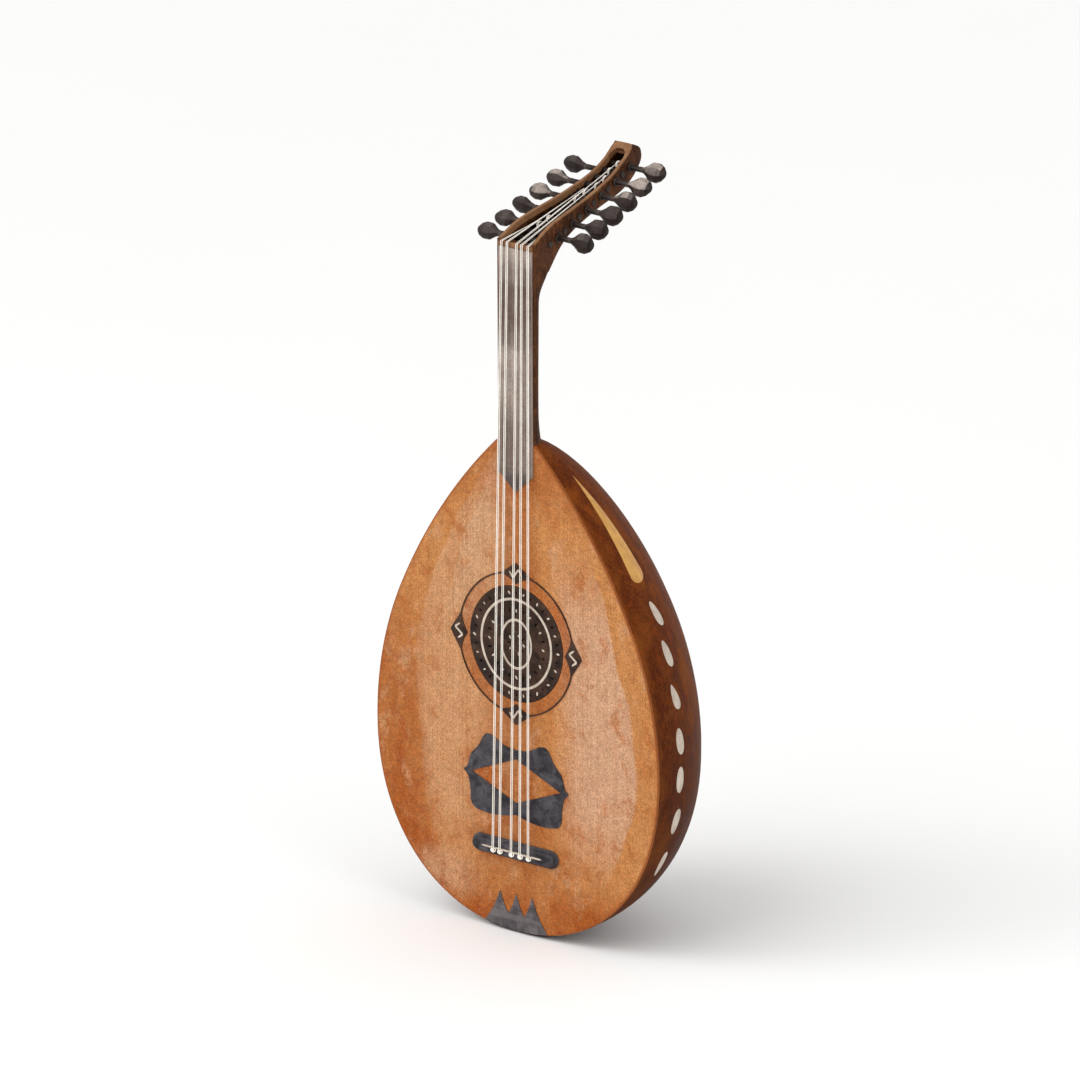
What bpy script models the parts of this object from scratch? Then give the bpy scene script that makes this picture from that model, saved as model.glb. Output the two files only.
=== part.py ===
"""An oud: a short-necked lute with a ribbed bowl, a flat soundboard and a pegbox bent back from the neck.

It stands upright. +Z runs up the neck, -Y is the way the soundboard faces and +X is a viewer's right. The
origin is the lowest point of the tail, on the bowl's long axis. Every piece is its own object, and the twelve
pegs turn.
"""

import math

import bmesh
import bpy
from mathutils import Vector

MM = 0.001
GAP = 0.3 * MM  # left between pieces that touch

# Body: a flat outline of three joined curves, and a bowl behind it whose depth has a profile of its own.
HALF_WIDTH = 177 * MM
DEPTH = 180 * MM
TAIL_DEPTH_POWER = 2.4  # fuller than the outline's tail
FLANK_DEPTH_REACH = 317 * MM  # above the widest place, where the flank's depth would run out
FLANK_DEPTH_POWER = 0.63
WIDEST = 187 * MM  # above the tail
TAIL_POWER = 2.15  # a superellipse a little fuller than an ellipse
HIP_RADIUS = 330 * MM
HIP_TURN = math.radians(25)
SHOULDER_RADIUS = 570 * MM
BODY_LENGTH = 498 * MM
TAIL_STEPS, FLANK_STEPS = 10, 11

BOARD_THICKNESS = 2.0 * MM
RIB_THICKNESS = 2.6 * MM
SIDE_RIB_ANGLE = math.radians(30)
MIDDLE_RIBS = 11
RIB_START_RADIUS = 8 * MM  # the ribs stop here, under the tail cap
CAP_THICKNESS = 1.2 * MM
CAP_RADIUS = 38 * MM
TAIL = CAP_THICKNESS + GAP  # height of the body's own tail above the origin

# Soundboard furniture, as distances up from the tail.
ROSETTE_Z = 293.5 * MM
ROSETTE_RADIUS = 58.5 * MM
ROSETTE_HOLES = (  # ring, count, radius
    (51 * MM, 16, 2.2 * MM),
    (35 * MM, 10, 2.4 * MM),
    (14 * MM, 5, 2.2 * MM),
)
RING_RADIUS = 71.5 * MM
RING_HALF = 0.8 * MM
MEDALLION_HALF_WIDTH = 10 * MM
MEDALLION_HALF_LENGTH = 19 * MM
MEDALLION_POWER = 1.25  # above 1, a medallion's sides are hollow
MEDALLION_STEPS, ARC_STEPS = 5, 6
VENEER = 0.6 * MM
GUARD_Z = 153.5 * MM
GUARD_HALF = (  # right half of the outline, in millimetres
    (0, 32), (15, 34), (29, 41), (37, 41.5), (42, 37), (47, 28), (57, 17), (61, 5), (66, 0),
    (60, -7), (57.5, -20), (57, -30), (52, -36.5), (40, -39), (26, -39), (12, -37), (0, -34),
)
GUARD_WINDOW = ((56, 0), (0, 23), (-56, 0), (0, -22))
BRIDGE_Z = 83 * MM
BRIDGE_LENGTH, BRIDGE_WIDTH, BRIDGE_HEIGHT = 107 * MM, 18 * MM, 7 * MM
BRIDGE_CHAMFER = 3 * MM  # how much narrower it gets at each of its two upper levels
SADDLE_LENGTH, SADDLE_WIDTH, SADDLE_HEIGHT = 75 * MM, 2 * MM, 1.2 * MM
SPIKE_HEIGHT, SPIKE_VALLEY, SPIKE_PITCH, SPIKE_BASE = 38 * MM, 16 * MM, 20 * MM, 39 * MM
BRACES = (45 * MM, 124 * MM, 180 * MM, 224 * MM, 364 * MM, 424 * MM)
BRACE_WIDTH, BRACE_HEIGHT = 5 * MM, 13 * MM
BRACE_ROOM = 1 * MM  # left between a brace's ends and the ribs
NECK_BLOCK_HEIGHTS = (452 * MM, 475 * MM, BODY_LENGTH - GAP)
TAIL_BLOCK_HEIGHTS = (9 * MM, 13 * MM, 18 * MM)
TAIL_BLOCK_HALF, TAIL_BLOCK_DEPTH = 48 * MM, 45 * MM
CAP_STEPS, CAP_SIDES = 4, 12
CAP_START_RADIUS = 1 * MM

# Neck and nut.
STRING_LENGTH = 611 * MM
NUT_Z = BRIDGE_Z + STRING_LENGTH
NECK_HALF_AT_NUT, NECK_DEPTH = 24 * MM, 15 * MM
NECK_STATIONS = (  # share of the way up, depth, and the power of its curved back, 2 for round
    (0.05, 19.5 * MM, 2),
    (0.133, 16.2 * MM, 2),
    (0.3, NECK_DEPTH, 2),
    (0.7, NECK_DEPTH, 2),
    (0.8, 15.6 * MM, 2.6),
)
NECK_END_POWER = 6  # square enough to meet the pegbox
BOARD_HALF_AT_NUT, BOARD_HALF_AT_BODY = 20.5 * MM, 21.5 * MM
FINGERBOARD_THICKNESS = 1.7 * MM
TONGUE_SHOULDER, TONGUE_TIP = 466 * MM, 447 * MM
NUT_WIDTH, NUT_HEIGHT = 5 * MM, 3 * MM

# Pegbox side view: (back, up) from the nut line, along the open rim and along the closed back.
RIM = ((-2, 3), (28, 16.5), (85, 29.5), (126, 42), (149, 55), (163, 67.5))
BACK = (
    (20, -27), (40, -6.5), (62, 5.5), (100, 17), (138, 25.5), (159, 35.5), (173, 50), (172, 62), (163, 67.5),
)
HEEL_SHELF = (7, 2)  # the solid wood at the neck end reaches this far into the pegbox
PEGBOX_HALF = 24 * MM
PEGBOX_TAPER = 0.07  # half width lost for each unit back
CHEEK = 4.2 * MM
FLOOR = 2.6 * MM
RIM_STRIP = 1.4 * MM
LINE_STEPS = 4  # points drawn for each one given in RIM and BACK
TIP_FIRST = 6 * LINE_STEPS  # the point of the back line where the tip block starts
TIP_TOP_POINTS = 3  # how many of the rim line's points lie over the tip block
TIP_GAP_SHARE = 0.2  # of one step of the back line, left between the floor and the tip block

# Pegs.
PEGS = 12
FIRST_PEG, LAST_PEG = (22, 0), (154, 47)  # (back, up) from the nut line
PEG_SAG = 1  # how far the row of pegs between them bows into the pegbox
SHAFT_HEAD_RADIUS, SHAFT_TIP_RADIUS = 3.8 * MM, 3.1 * MM
PEG_CLEARANCE = 0.35 * MM
STEM_LENGTH = 20 * MM
HEAD = (  # (distance past the stem, half width, half thickness), in millimetres
    (-12, 2.7, 2.7), (-3, 2.9, 2.9), (2, 4.6, 4.0), (6, 7.6, 4.7), (11, 9.6, 4.6), (16.5, 9.4, 4.3),
    (20.5, 7.2, 3.8), (24, 3.4, 2.2),
)
COLLAR = 2 * MM  # where the stem starts to narrow, past the cheek
PEG_OVERHANG = 1.4 * MM
PEG_CHAMFER = 0.8 * MM
PEG_SIDES = 12
PEG_REST_TURNS = (-30, -5, -42, -15, 6, -25, -35, -10, -20, -40, -2, -26)  # degrees, as tuning has left them

# Strings: five courses of two. (nut x, bridge x) of each course's middle, outer courses first.
COURSES = ((-15, -22), (17.8, 22.5), (-8, -13.5), (10, 12), (3.8, 1))
COURSE_HALF_GAP = 0.9 * MM
STRING_RADIUS = 0.45 * MM
STRING_TAIL = 4 * MM  # how far the strings run on below the saddle
STRING_PAST_NUT = 0.6 * MM
STRING_WALL_ROOM = 2.5 * MM  # kept from the middle of an outer string to the pegbox wall
FIRST_STRUNG_PEG = 2  # the two pegs next to the nut carry no string

FRONT = -BOARD_THICKNESS  # the soundboard's face
VENEER_FRONT = FRONT - GAP - VENEER
FINGER_FRONT = FRONT - GAP - FINGERBOARD_THICKNESS
BRIDGE_FRONT = FRONT - GAP - BRIDGE_HEIGHT
SADDLE_FRONT = BRIDGE_FRONT - GAP - SADDLE_HEIGHT
NUT_FRONT = FRONT - GAP - NUT_HEIGHT
STRING_LIFT = GAP + STRING_RADIUS
PEG_LIFT = STRING_LIFT + 0.1 * MM  # from a peg's surface to the middle of its string

FINISHES = {  # colour and roughness
    "soundboard_spruce": ((0.60, 0.34, 0.15), 0.45),
    "rib_walnut": ((0.12, 0.045, 0.025), 0.35),
    "neck_walnut": ((0.11, 0.045, 0.025), 0.4),
    "ebony": ((0.07, 0.06, 0.06), 0.45),
    "rim_maple": ((0.42, 0.22, 0.11), 0.45),
    "peg_wood": ((0.10, 0.08, 0.075), 0.4),
    "bone": ((0.80, 0.76, 0.66), 0.4),
    "string": ((0.80, 0.74, 0.66), 0.35),
    "inner_spruce": ((0.62, 0.45, 0.27), 0.7),
}


def clear_scene():
    for obj in list(bpy.data.objects):
        bpy.data.objects.remove(obj)


def new_collection(name, hidden=False):
    made = bpy.data.collections.new(name)
    bpy.context.scene.collection.children.link(made)
    made.hide_render = hidden
    return made


def finish(name):
    """The Principled material of that name, made once."""
    found = bpy.data.materials.get(name)
    if found:
        return found
    colour, roughness = FINISHES[name]
    made = bpy.data.materials.new(name)
    made.use_nodes = True
    shader = made.node_tree.nodes["Principled BSDF"]
    shader.inputs["Base Color"].default_value = (*colour, 1)
    shader.inputs["Roughness"].default_value = roughness
    return made


def add(name, data, finish_name, location=(0, 0, 0)):
    obj = bpy.data.objects.new(name, data)
    obj.location = location
    data.materials.append(finish(finish_name))
    oud.objects.link(obj)
    return obj


def smooth_shading(obj, angle=40):
    obj.data.shade_smooth()
    obj.data.set_sharp_from_angle(angle=math.radians(angle))


# ---------------------------------------------------------------- shapes

def loft(name, sections, finish_name, location=(0, 0, 0)):
    """A closed skin over a row of closed loops that have the same number of points."""
    shape = bmesh.new()
    loops = [[shape.verts.new(point) for point in section] for section in sections]
    count = len(sections[0])
    for before, after in zip(loops, loops[1:]):
        for i in range(count):
            j = (i + 1) % count
            shape.faces.new((before[i], before[j], after[j], after[i]))
    shape.faces.new(reversed(loops[0]))
    shape.faces.new(loops[-1])
    bmesh.ops.recalc_face_normals(shape, faces=shape.faces)
    mesh = bpy.data.meshes.new(name)
    shape.to_mesh(mesh)
    shape.free()
    obj = add(name, mesh, finish_name, location)
    smooth_shading(obj)
    return obj


def flat_curve(name, outlines, thickness):
    """A 2D curve filled between its outlines, of which the inner ones are holes."""
    curve = bpy.data.curves.new(name, "CURVE")
    curve.dimensions = "2D"
    curve.fill_mode = "BOTH"
    curve.extrude = thickness / 2
    for outline in outlines:
        spline = curve.splines.new("POLY")
        spline.points.add(len(outline) - 1)
        for point, (across, up) in zip(spline.points, outline):
            point.co = (across, up, 0, 1)
        spline.use_cyclic_u = True
    return curve


def front_plate(name, outlines, front, thickness, finish_name):
    """A flat piece facing -Y, from outlines of (x, height above the tail)."""
    curve = flat_curve(name, outlines, thickness)
    obj = add(name, curve, finish_name, (0, front + thickness / 2, TAIL))
    obj.rotation_euler = (math.pi / 2, 0, 0)
    return obj


def side_plate(name, outline, thickness, finish_name, middle_x, turn=0.0):
    """A flat piece facing +X, from an outline of (y, height above the nut), turned about Z."""
    curve = flat_curve(name, [[(y / math.cos(turn), z) for y, z in outline]], thickness)
    obj = add(name, curve, finish_name, (middle_x, 0, TAIL + NUT_Z))
    obj.rotation_euler = (math.pi / 2, 0, math.pi / 2 + turn)
    return obj


def made_mesh(obj):
    """The curve object as a mesh object of the same name, so that it can be cut."""
    bpy.context.view_layer.update()
    graph = bpy.context.evaluated_depsgraph_get()
    mesh = bpy.data.meshes.new_from_object(obj.evaluated_get(graph))
    shape = bmesh.new()
    shape.from_mesh(mesh)
    bmesh.ops.remove_doubles(shape, verts=shape.verts, dist=0.01 * MM)
    bmesh.ops.recalc_face_normals(shape, faces=shape.faces)
    shape.to_mesh(mesh)
    shape.free()
    name, matrix = obj.name, obj.matrix_world.copy()
    bpy.data.objects.remove(obj)
    made = bpy.data.objects.new(name, mesh)
    made.matrix_world = matrix
    oud.objects.link(made)
    return made


def box(name, size, middle, finish_name):
    bpy.ops.mesh.primitive_cube_add(size=1, location=middle)
    obj = bpy.context.object
    obj.name = name
    obj.scale = size
    bpy.ops.object.transform_apply(location=False, rotation=False, scale=True)
    obj.data.materials.append(finish(finish_name))
    for holder in list(obj.users_collection):
        holder.objects.unlink(obj)
    oud.objects.link(obj)
    return obj


def circle(radius, count, middle):
    turns = [math.tau * i / count for i in range(count)]
    return [(middle[0] + radius * math.cos(a), middle[1] + radius * math.sin(a)) for a in turns]


def smooth_line(points):
    """A Catmull-Rom line through hand-chosen points, which are in millimetres."""
    points = [Vector(p) * MM for p in points]
    ends = [2 * points[0] - points[1], *points, 2 * points[-1] - points[-2]]
    line = []
    for a, b, c, d in zip(ends, ends[1:], ends[2:], ends[3:]):
        for i in range(LINE_STEPS):
            t = i / LINE_STEPS
            line.append(0.5 * (2 * b + (c - a) * t + (2 * a - 5 * b + 4 * c - d) * t**2
                               + (3 * b - a - 3 * c + d) * t**3))
    return [*line, points[-1]]


def mirrored(half):
    """A closed outline from its right half, which runs from the axis to the axis."""
    return [*half, *[(-x, z) for x, z in reversed(half) if abs(x) > 0.01 * MM]]


# ---------------------------------------------------------------- body

def flank(z):
    """Half the body's width at a height above the widest place: the hip arc, then the shoulder arc."""
    if z <= WIDEST + HIP_RADIUS * math.sin(HIP_TURN):
        return HALF_WIDTH - HIP_RADIUS + math.sqrt(HIP_RADIUS**2 - (z - WIDEST) ** 2)
    reach = HIP_RADIUS - SHOULDER_RADIUS
    middle_x = HALF_WIDTH - HIP_RADIUS + reach * math.cos(HIP_TURN)
    middle_z = WIDEST + reach * math.sin(HIP_TURN)
    return middle_x + math.sqrt(SHOULDER_RADIUS**2 - (z - middle_z) ** 2)


def tail_curve(turn):
    """(radius, height) on the tail's superellipse, from the pole at 0 to the widest place at 90 degrees."""
    power = 2 / TAIL_POWER
    return HALF_WIDTH * math.sin(turn) ** power, WIDEST * (1 - math.cos(turn) ** power)


def depth(z):
    """How far the bowl goes back from the soundboard at a height above the tail."""
    if z < WIDEST:
        return DEPTH * (1 - (1 - z / WIDEST) ** TAIL_DEPTH_POWER) ** (1 / TAIL_DEPTH_POWER)
    return DEPTH * (1 - ((z - WIDEST) / FLANK_DEPTH_REACH) ** 2) ** FLANK_DEPTH_POWER


def tail_height(x):
    """The outline's height above the tail at a distance from the axis, below the widest place."""
    return WIDEST * (1 - (1 - (abs(x) / HALF_WIDTH) ** TAIL_POWER) ** (1 / TAIL_POWER))


def body_profile(start_radius=0.0):
    """(half width, depth, height) up the body, from a half width of start_radius at the tail to the neck joint."""
    start = math.asin((start_radius / HALF_WIDTH) ** (TAIL_POWER / 2))
    turns = [start + (math.pi / 2 - start) * i / TAIL_STEPS for i in range(TAIL_STEPS)]
    heights = [WIDEST + (BODY_LENGTH - WIDEST) * i / FLANK_STEPS for i in range(FLANK_STEPS + 1)]
    outline = [tail_curve(a) for a in turns] + [(flank(z), z) for z in heights]
    return [(width, depth(z), z) for width, z in outline]


def offset(line, inward):
    """A line of (reach, height) moved along its normal, towards the long axis."""
    moved = []
    for i, (reach, z) in enumerate(line):
        before, after = line[max(i - 1, 0)], line[min(i + 1, len(line) - 1)]
        step = Vector((after[0] - before[0], after[1] - before[1])).normalized()
        moved.append((reach - step.y * inward, z + step.x * inward))
    return moved


def cut_level(line, level):
    """The line with its last point slid along it to a height of level."""
    (r0, z0), (r1, z1) = line[-2:]
    return [*line[:-1], (r1 + (r1 - r0) * (level - z1) / (z1 - z0), level)]


def bowl_lines(profile, inward=0.0):
    """The lines up the bowl's side and up its back, as (reach, height), moved in by inward."""
    return [offset([(row[k], row[2]) for row in profile], inward) for k in (0, 1)]


def inside_lines(clearance=0.0):
    """The lines up the ribs' inner face, cut level at the neck joint."""
    lines = bowl_lines(body_profile(RIB_START_RADIUS), RIB_THICKNESS + clearance)
    return [cut_level(line, BODY_LENGTH) for line in lines]


def bowl_loop(side, back, turns):
    """Points round the bowl between one point of its side line and one of its back line."""
    loop = []
    for t in turns:
        share = math.sin(t) ** 2
        loop.append((side[0] * math.cos(t), back[0] * math.sin(t), TAIL + side[1] * (1 - share) + back[1] * share))
    return loop


def inside(z, clearance=0.0):
    """The clear (half width, depth) inside the ribs at a height above the tail."""
    found = []
    for line in inside_lines(clearance):
        pairs = [pair for pair in zip(line, line[1:]) if pair[0][1] <= z <= pair[1][1]]
        (r0, z0), (r1, z1) = pairs[0]
        found.append(r0 + (r1 - r0) * (z - z0) / (z1 - z0))
    return found


def rib(name, first, last, first_gap, last_gap, steps):
    """One strip of the bowl between two meridians, with a parallel gap along each edge."""
    outer, inner = bowl_lines(body_profile(RIB_START_RADIUS)), inside_lines()
    sections = []
    for (side, back), (side_in, back_in) in zip(zip(*outer), zip(*inner)):
        loops = []
        for s, b in ((side, back), (side_in, back_in)):
            narrow = min(s[0], b[0])
            start, end = first + first_gap / narrow, last - last_gap / narrow
            loops.append(bowl_loop(s, b, [start + (end - start) * i / steps for i in range(steps + 1)]))
        sections.append([*loops[0], *reversed(loops[1])])
    loft(name, sections, "rib_walnut")


def bowl():
    edges = [0.0, SIDE_RIB_ANGLE]
    width = (math.pi - 2 * SIDE_RIB_ANGLE) / MIDDLE_RIBS
    edges += [SIDE_RIB_ANGLE + width * (i + 1) for i in range(MIDDLE_RIBS)] + [math.pi]
    last = len(edges) - 2
    for i, (a, b) in enumerate(zip(edges, edges[1:])):
        side = i in (0, last)
        rib(f"rib_{i + 1:02d}", a, b, GAP if i == 0 else GAP / 2, GAP if i == last else GAP / 2, 3 if side else 2)


def block_loop(width, back, z, sides=10):
    """A half-oval loop behind the soundboard, flat side to the front."""
    start = math.asin(GAP / back)
    turns = [start + (math.pi - 2 * start) * i / sides for i in range(sides + 1)]
    return bowl_loop((width, z), (back, z), turns)


def blocks():
    loft("neck_block", [block_loop(*inside(z, 2 * GAP), z) for z in NECK_BLOCK_HEIGHTS], "inner_spruce")
    sizes = [inside(z, 1 * MM) for z in TAIL_BLOCK_HEIGHTS]
    sizes = [(min(width, TAIL_BLOCK_HALF), min(back, TAIL_BLOCK_DEPTH)) for width, back in sizes]
    loops = [block_loop(width, back, z) for (width, back), z in zip(sizes, TAIL_BLOCK_HEIGHTS)]
    loft("tail_block", loops, "inner_spruce")


def tail_cap():
    """A thin shell over the rib ends, from the pole out to its own radius."""
    start = math.asin((CAP_START_RADIUS / HALF_WIDTH) ** (TAIL_POWER / 2))
    end = math.asin((CAP_RADIUS / HALF_WIDTH) ** (TAIL_POWER / 2))
    outline = [tail_curve(start + (end - start) * i / CAP_STEPS) for i in range(CAP_STEPS + 1)]
    profile = [(width, depth(z), z) for width, z in outline]
    inner, outer = bowl_lines(profile, -GAP), bowl_lines(profile, -GAP - CAP_THICKNESS)
    sides, backs = [[*i, *reversed(o)] for i, o in zip(inner, outer)]
    turns = [math.pi * i / CAP_SIDES for i in range(CAP_SIDES + 1)]
    rings = [bowl_loop(side, back, turns) for side, back in zip(sides, backs)]
    loft("tail_cap", list(zip(*rings)), "ebony")


def soundboard():
    half = [(x, z) for x, _, z in body_profile()]
    half.append((0, BODY_LENGTH))
    hole = circle(ROSETTE_RADIUS, 32, (0, ROSETTE_Z))
    front_plate("soundboard", [mirrored(half), hole], FRONT, BOARD_THICKNESS, "soundboard_spruce")


def rosette():
    """The pierced disc that fills the sound hole."""
    outlines = [circle(ROSETTE_RADIUS - GAP, 32, (0, ROSETTE_Z))]
    for ring, count, radius in ROSETTE_HOLES:
        outlines += [circle(radius, 6, hole) for hole in circle(ring, count, (0, ROSETTE_Z))]
    front_plate("rosette", outlines, FRONT, BOARD_THICKNESS, "ebony")


def rosette_ring():
    """The line round the rosette, which widens into four pointed medallions."""
    reach = MEDALLION_HALF_LENGTH / RING_RADIUS
    shares = [-1 + i / MEDALLION_STEPS for i in range(2 * MEDALLION_STEPS + 1)]
    turns = []
    for quarter in range(4):
        middle = quarter * math.pi / 2
        turns += [middle + reach * s for s in shares]
        arc = math.pi / 2 - 2 * reach
        turns += [middle + reach + arc * i / ARC_STEPS for i in range(1, ARC_STEPS)]
    sides = []
    for sign in (1, -1):
        side = []
        for turn in turns:
            off = abs((turn + math.pi / 4) % (math.pi / 2) - math.pi / 4)
            half = RING_HALF + MEDALLION_HALF_WIDTH * max(0.0, 1 - off / reach) ** MEDALLION_POWER
            radius = RING_RADIUS + sign * half
            side.append((radius * math.cos(turn), ROSETTE_Z + radius * math.sin(turn)))
        sides.append(side)
    front_plate("rosette_ring", sides, VENEER_FRONT, VENEER, "ebony")


def pickguard():
    """The lobed plate below the rosette, with a lozenge window."""
    outline = mirrored([(x * MM, GUARD_Z + z * MM) for x, z in GUARD_HALF])
    window = [(x * MM, GUARD_Z + z * MM) for x, z in GUARD_WINDOW]
    front_plate("pickguard", [outline, window], VENEER_FRONT, VENEER, "ebony")


def tail_spikes():
    """Three points of dark veneer that rise from the soundboard's bottom edge."""
    base = [SPIKE_BASE * (1 - i / 3) for i in range(4)]
    low = [(x, tail_height(x) + 2 * GAP) for x in base]
    half = [*reversed(low), (SPIKE_PITCH, SPIKE_HEIGHT), (SPIKE_PITCH / 2, SPIKE_VALLEY), (0, SPIKE_HEIGHT)]
    front_plate("tail_spikes", [mirrored(half)], VENEER_FRONT, VENEER, "ebony")


def braces():
    for i, z in enumerate(BRACES):
        (w0, d0), (w1, d1) = inside(z - BRACE_WIDTH / 2), inside(z + BRACE_WIDTH / 2)
        half = min(w0, w1) * math.sqrt(1 - ((BRACE_HEIGHT + BRACE_ROOM) / min(d0, d1)) ** 2) - BRACE_ROOM
        middle = (0, GAP + BRACE_HEIGHT / 2, TAIL + z)
        box(f"brace_{i + 1}", (2 * half, BRACE_HEIGHT, BRACE_WIDTH), middle, "inner_spruce")


def stadium(length, width, y):
    """A long loop with half-round ends, lying flat at a height of y in front of the axis."""
    radius, straight = width / 2, (length - width) / 2
    turns = [math.pi * i / 6 - math.pi / 2 for i in range(7)]
    right = [(straight + radius * math.cos(t), radius * math.sin(t)) for t in turns]
    both = [*right, *[(-x, -z) for x, z in right]]
    return [(x, y, TAIL + BRIDGE_Z + z) for x, z in both]


def bridge():
    levels = (FRONT - GAP, BRIDGE_FRONT + BRIDGE_CHAMFER / 2, BRIDGE_FRONT)
    sections = []
    for i, level in enumerate(levels):
        less = i * BRIDGE_CHAMFER
        sections.append(stadium(BRIDGE_LENGTH - less, BRIDGE_WIDTH - less, level))
    loft("bridge", sections, "ebony")
    middle = (0, SADDLE_FRONT + SADDLE_HEIGHT / 2, TAIL + BRIDGE_Z)
    box("bridge_saddle", (SADDLE_LENGTH, SADDLE_HEIGHT, SADDLE_WIDTH), middle, "bone")


# ---------------------------------------------------------------- neck

def neck_section(half, back, top, power=2, mitre=0.0, sides=14):
    """A loop with a flat front and a curved back. mitre is how much lower it lies for each unit back."""
    loop = [(half, FRONT)]
    for i in range(sides + 1):
        turn = math.pi * i / sides
        across = math.copysign(abs(math.cos(turn)) ** (2 / power), math.cos(turn))
        loop.append((half * across, back * math.sin(turn) ** (2 / power)))
    loop.append((-half, FRONT))
    return [(x, y, TAIL + top - mitre * (y - FRONT)) for x, y in loop]


def neck():
    joint, heel = flank(BODY_LENGTH), depth(BODY_LENGTH)
    (rim_y, rim_z), (back_y, back_z) = RIM[0], BACK[0]
    mitre = (rim_z - back_z) / (back_y - rim_y)
    top = NUT_Z + rim_z * MM - GAP
    sections = [neck_section(joint, heel, BODY_LENGTH + GAP)]
    for share, back, power in NECK_STATIONS:
        half = joint + (NECK_HALF_AT_NUT - joint) * share
        sections.append(neck_section(half, back, BODY_LENGTH + GAP + (NUT_Z - BODY_LENGTH) * share, power))
    sections.append(neck_section(NECK_HALF_AT_NUT, back_y * MM, top, NECK_END_POWER, mitre))
    loft("neck", sections, "neck_walnut")


def fingerboard():
    top = NUT_Z - NUT_WIDTH / 2 - GAP
    half = [(0, TONGUE_TIP), (BOARD_HALF_AT_BODY, TONGUE_SHOULDER), (BOARD_HALF_AT_NUT, top), (0, top)]
    front_plate("fingerboard", [mirrored(half)], FINGER_FRONT, FINGERBOARD_THICKNESS, "ebony")
    middle = (0, NUT_FRONT + NUT_HEIGHT / 2, TAIL + NUT_Z)
    box("nut", (2 * BOARD_HALF_AT_NUT, NUT_HEIGHT, NUT_WIDTH), middle, "rim_maple")


# ---------------------------------------------------------------- pegbox and pegs

def pegbox_half(y):
    """Half the pegbox's outer width at a distance back."""
    return PEGBOX_HALF - PEGBOX_TAPER * y


def pegbox_strip(name, stations, inset, finish_name, side=None):
    """A strip between two lines of the side view, as wide as the pegbox less inset, or along one cheek."""
    sections = []
    for (y0, z0), (y1, z1) in stations:
        loop = []
        for y, z in ((y0, z0), (y1, z1)):
            half = pegbox_half(y) - inset
            ends = (-half, half) if side is None else (side * (half - CHEEK), side * half)
            loop.append([(x, y, TAIL + NUT_Z + z) for x in ends])
        sections.append([*loop[0], *reversed(loop[1])])
    loft(name, sections, finish_name)


def inset_line(line, distance):
    """The line moved sideways, to the right of its direction."""
    moved = []
    for i, point in enumerate(line):
        step = (line[min(i + 1, len(line) - 1)] - line[max(i - 1, 0)]).normalized()
        moved.append(point + Vector((step.y, -step.x)) * distance)
    return moved


def peg_axis(number):
    """(y, height above the nut) of a peg's axis."""
    share = number / (PEGS - 1)
    point = Vector(FIRST_PEG).lerp(Vector(LAST_PEG), share)
    return (point - Vector((0, PEG_SAG * 4 * share * (1 - share)))) * MM


def shaft_radius(number, x):
    """A peg's radius where its shaft crosses x. The shaft tapers from its head's cheek to the far cheek."""
    half = pegbox_half(peg_axis(number).x)
    share = (x * peg_side(number) + half) / (2 * half)
    return SHAFT_TIP_RADIUS + (SHAFT_HEAD_RADIUS - SHAFT_TIP_RADIUS) * share


def peg_side(number):
    """-1 for a peg whose head is on the left, 1 on the right."""
    return 1 if number % 2 else -1


def cheek(name, side):
    """One side wall of the pegbox, drilled for every peg."""
    outline = [*rim_line, *reversed(back_line[:-1])]
    turn = side * math.atan(PEGBOX_TAPER)
    middle = side * (PEGBOX_HALF - CHEEK / 2)
    wall = made_mesh(side_plate(name, outline, CHEEK, "neck_walnut", middle, turn))
    for number in range(PEGS):
        y, z = peg_axis(number)
        x = side * (pegbox_half(y) - CHEEK / 2)
        bpy.ops.mesh.primitive_cylinder_add(
            vertices=12,
            radius=(shaft_radius(number, x) + PEG_CLEARANCE) / math.cos(math.pi / 12),
            depth=3 * CHEEK,
            location=(x, y, TAIL + NUT_Z + z),
            rotation=(0, math.pi / 2, 0),
        )
        cutter = bpy.context.object
        cutter.name = f"{name}_hole_{number + 1}"
        cutter.hide_render = True
        cutter.display_type = "WIRE"
        for holder in list(cutter.users_collection):
            holder.objects.unlink(cutter)
        cutters.objects.link(cutter)
        cut = wall.modifiers.new(cutter.name, "BOOLEAN")
        cut.object = cutter


def pegbox():
    cheek("pegbox_cheek_left", -1)
    cheek("pegbox_cheek_right", 1)
    inner_back = inset_line(back_line, -FLOOR)
    joint = (back_line[0] + Vector((GAP, GAP)), rim_line[0] + Vector((5 * GAP, -3 * GAP)))
    floor = [joint, (back_line[1], Vector(HEEL_SHELF) * MM)]
    floor += [(back_line[i], inner_back[i]) for i in range(2, TIP_FIRST + 1)]
    pegbox_strip("pegbox_floor", floor, CHEEK + GAP, "neck_walnut")
    corner = back_line[TIP_FIRST].lerp(back_line[TIP_FIRST + 1], TIP_GAP_SHARE)
    outline = [*rim_line[-TIP_TOP_POINTS:], *reversed(back_line[TIP_FIRST + 1:-1]), corner]
    half = pegbox_half(back_line[TIP_FIRST].x) - CHEEK - 2 * GAP
    side_plate("pegbox_tip", outline, 2 * half, "neck_walnut", 0)
    low, high = inset_line(rim_line, -GAP), inset_line(rim_line, -GAP - RIM_STRIP)
    for name, side in (("rim_left", -1), ("rim_right", 1)):
        pegbox_strip(name, list(zip(low, high)), 0, "rim_maple", side)


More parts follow.
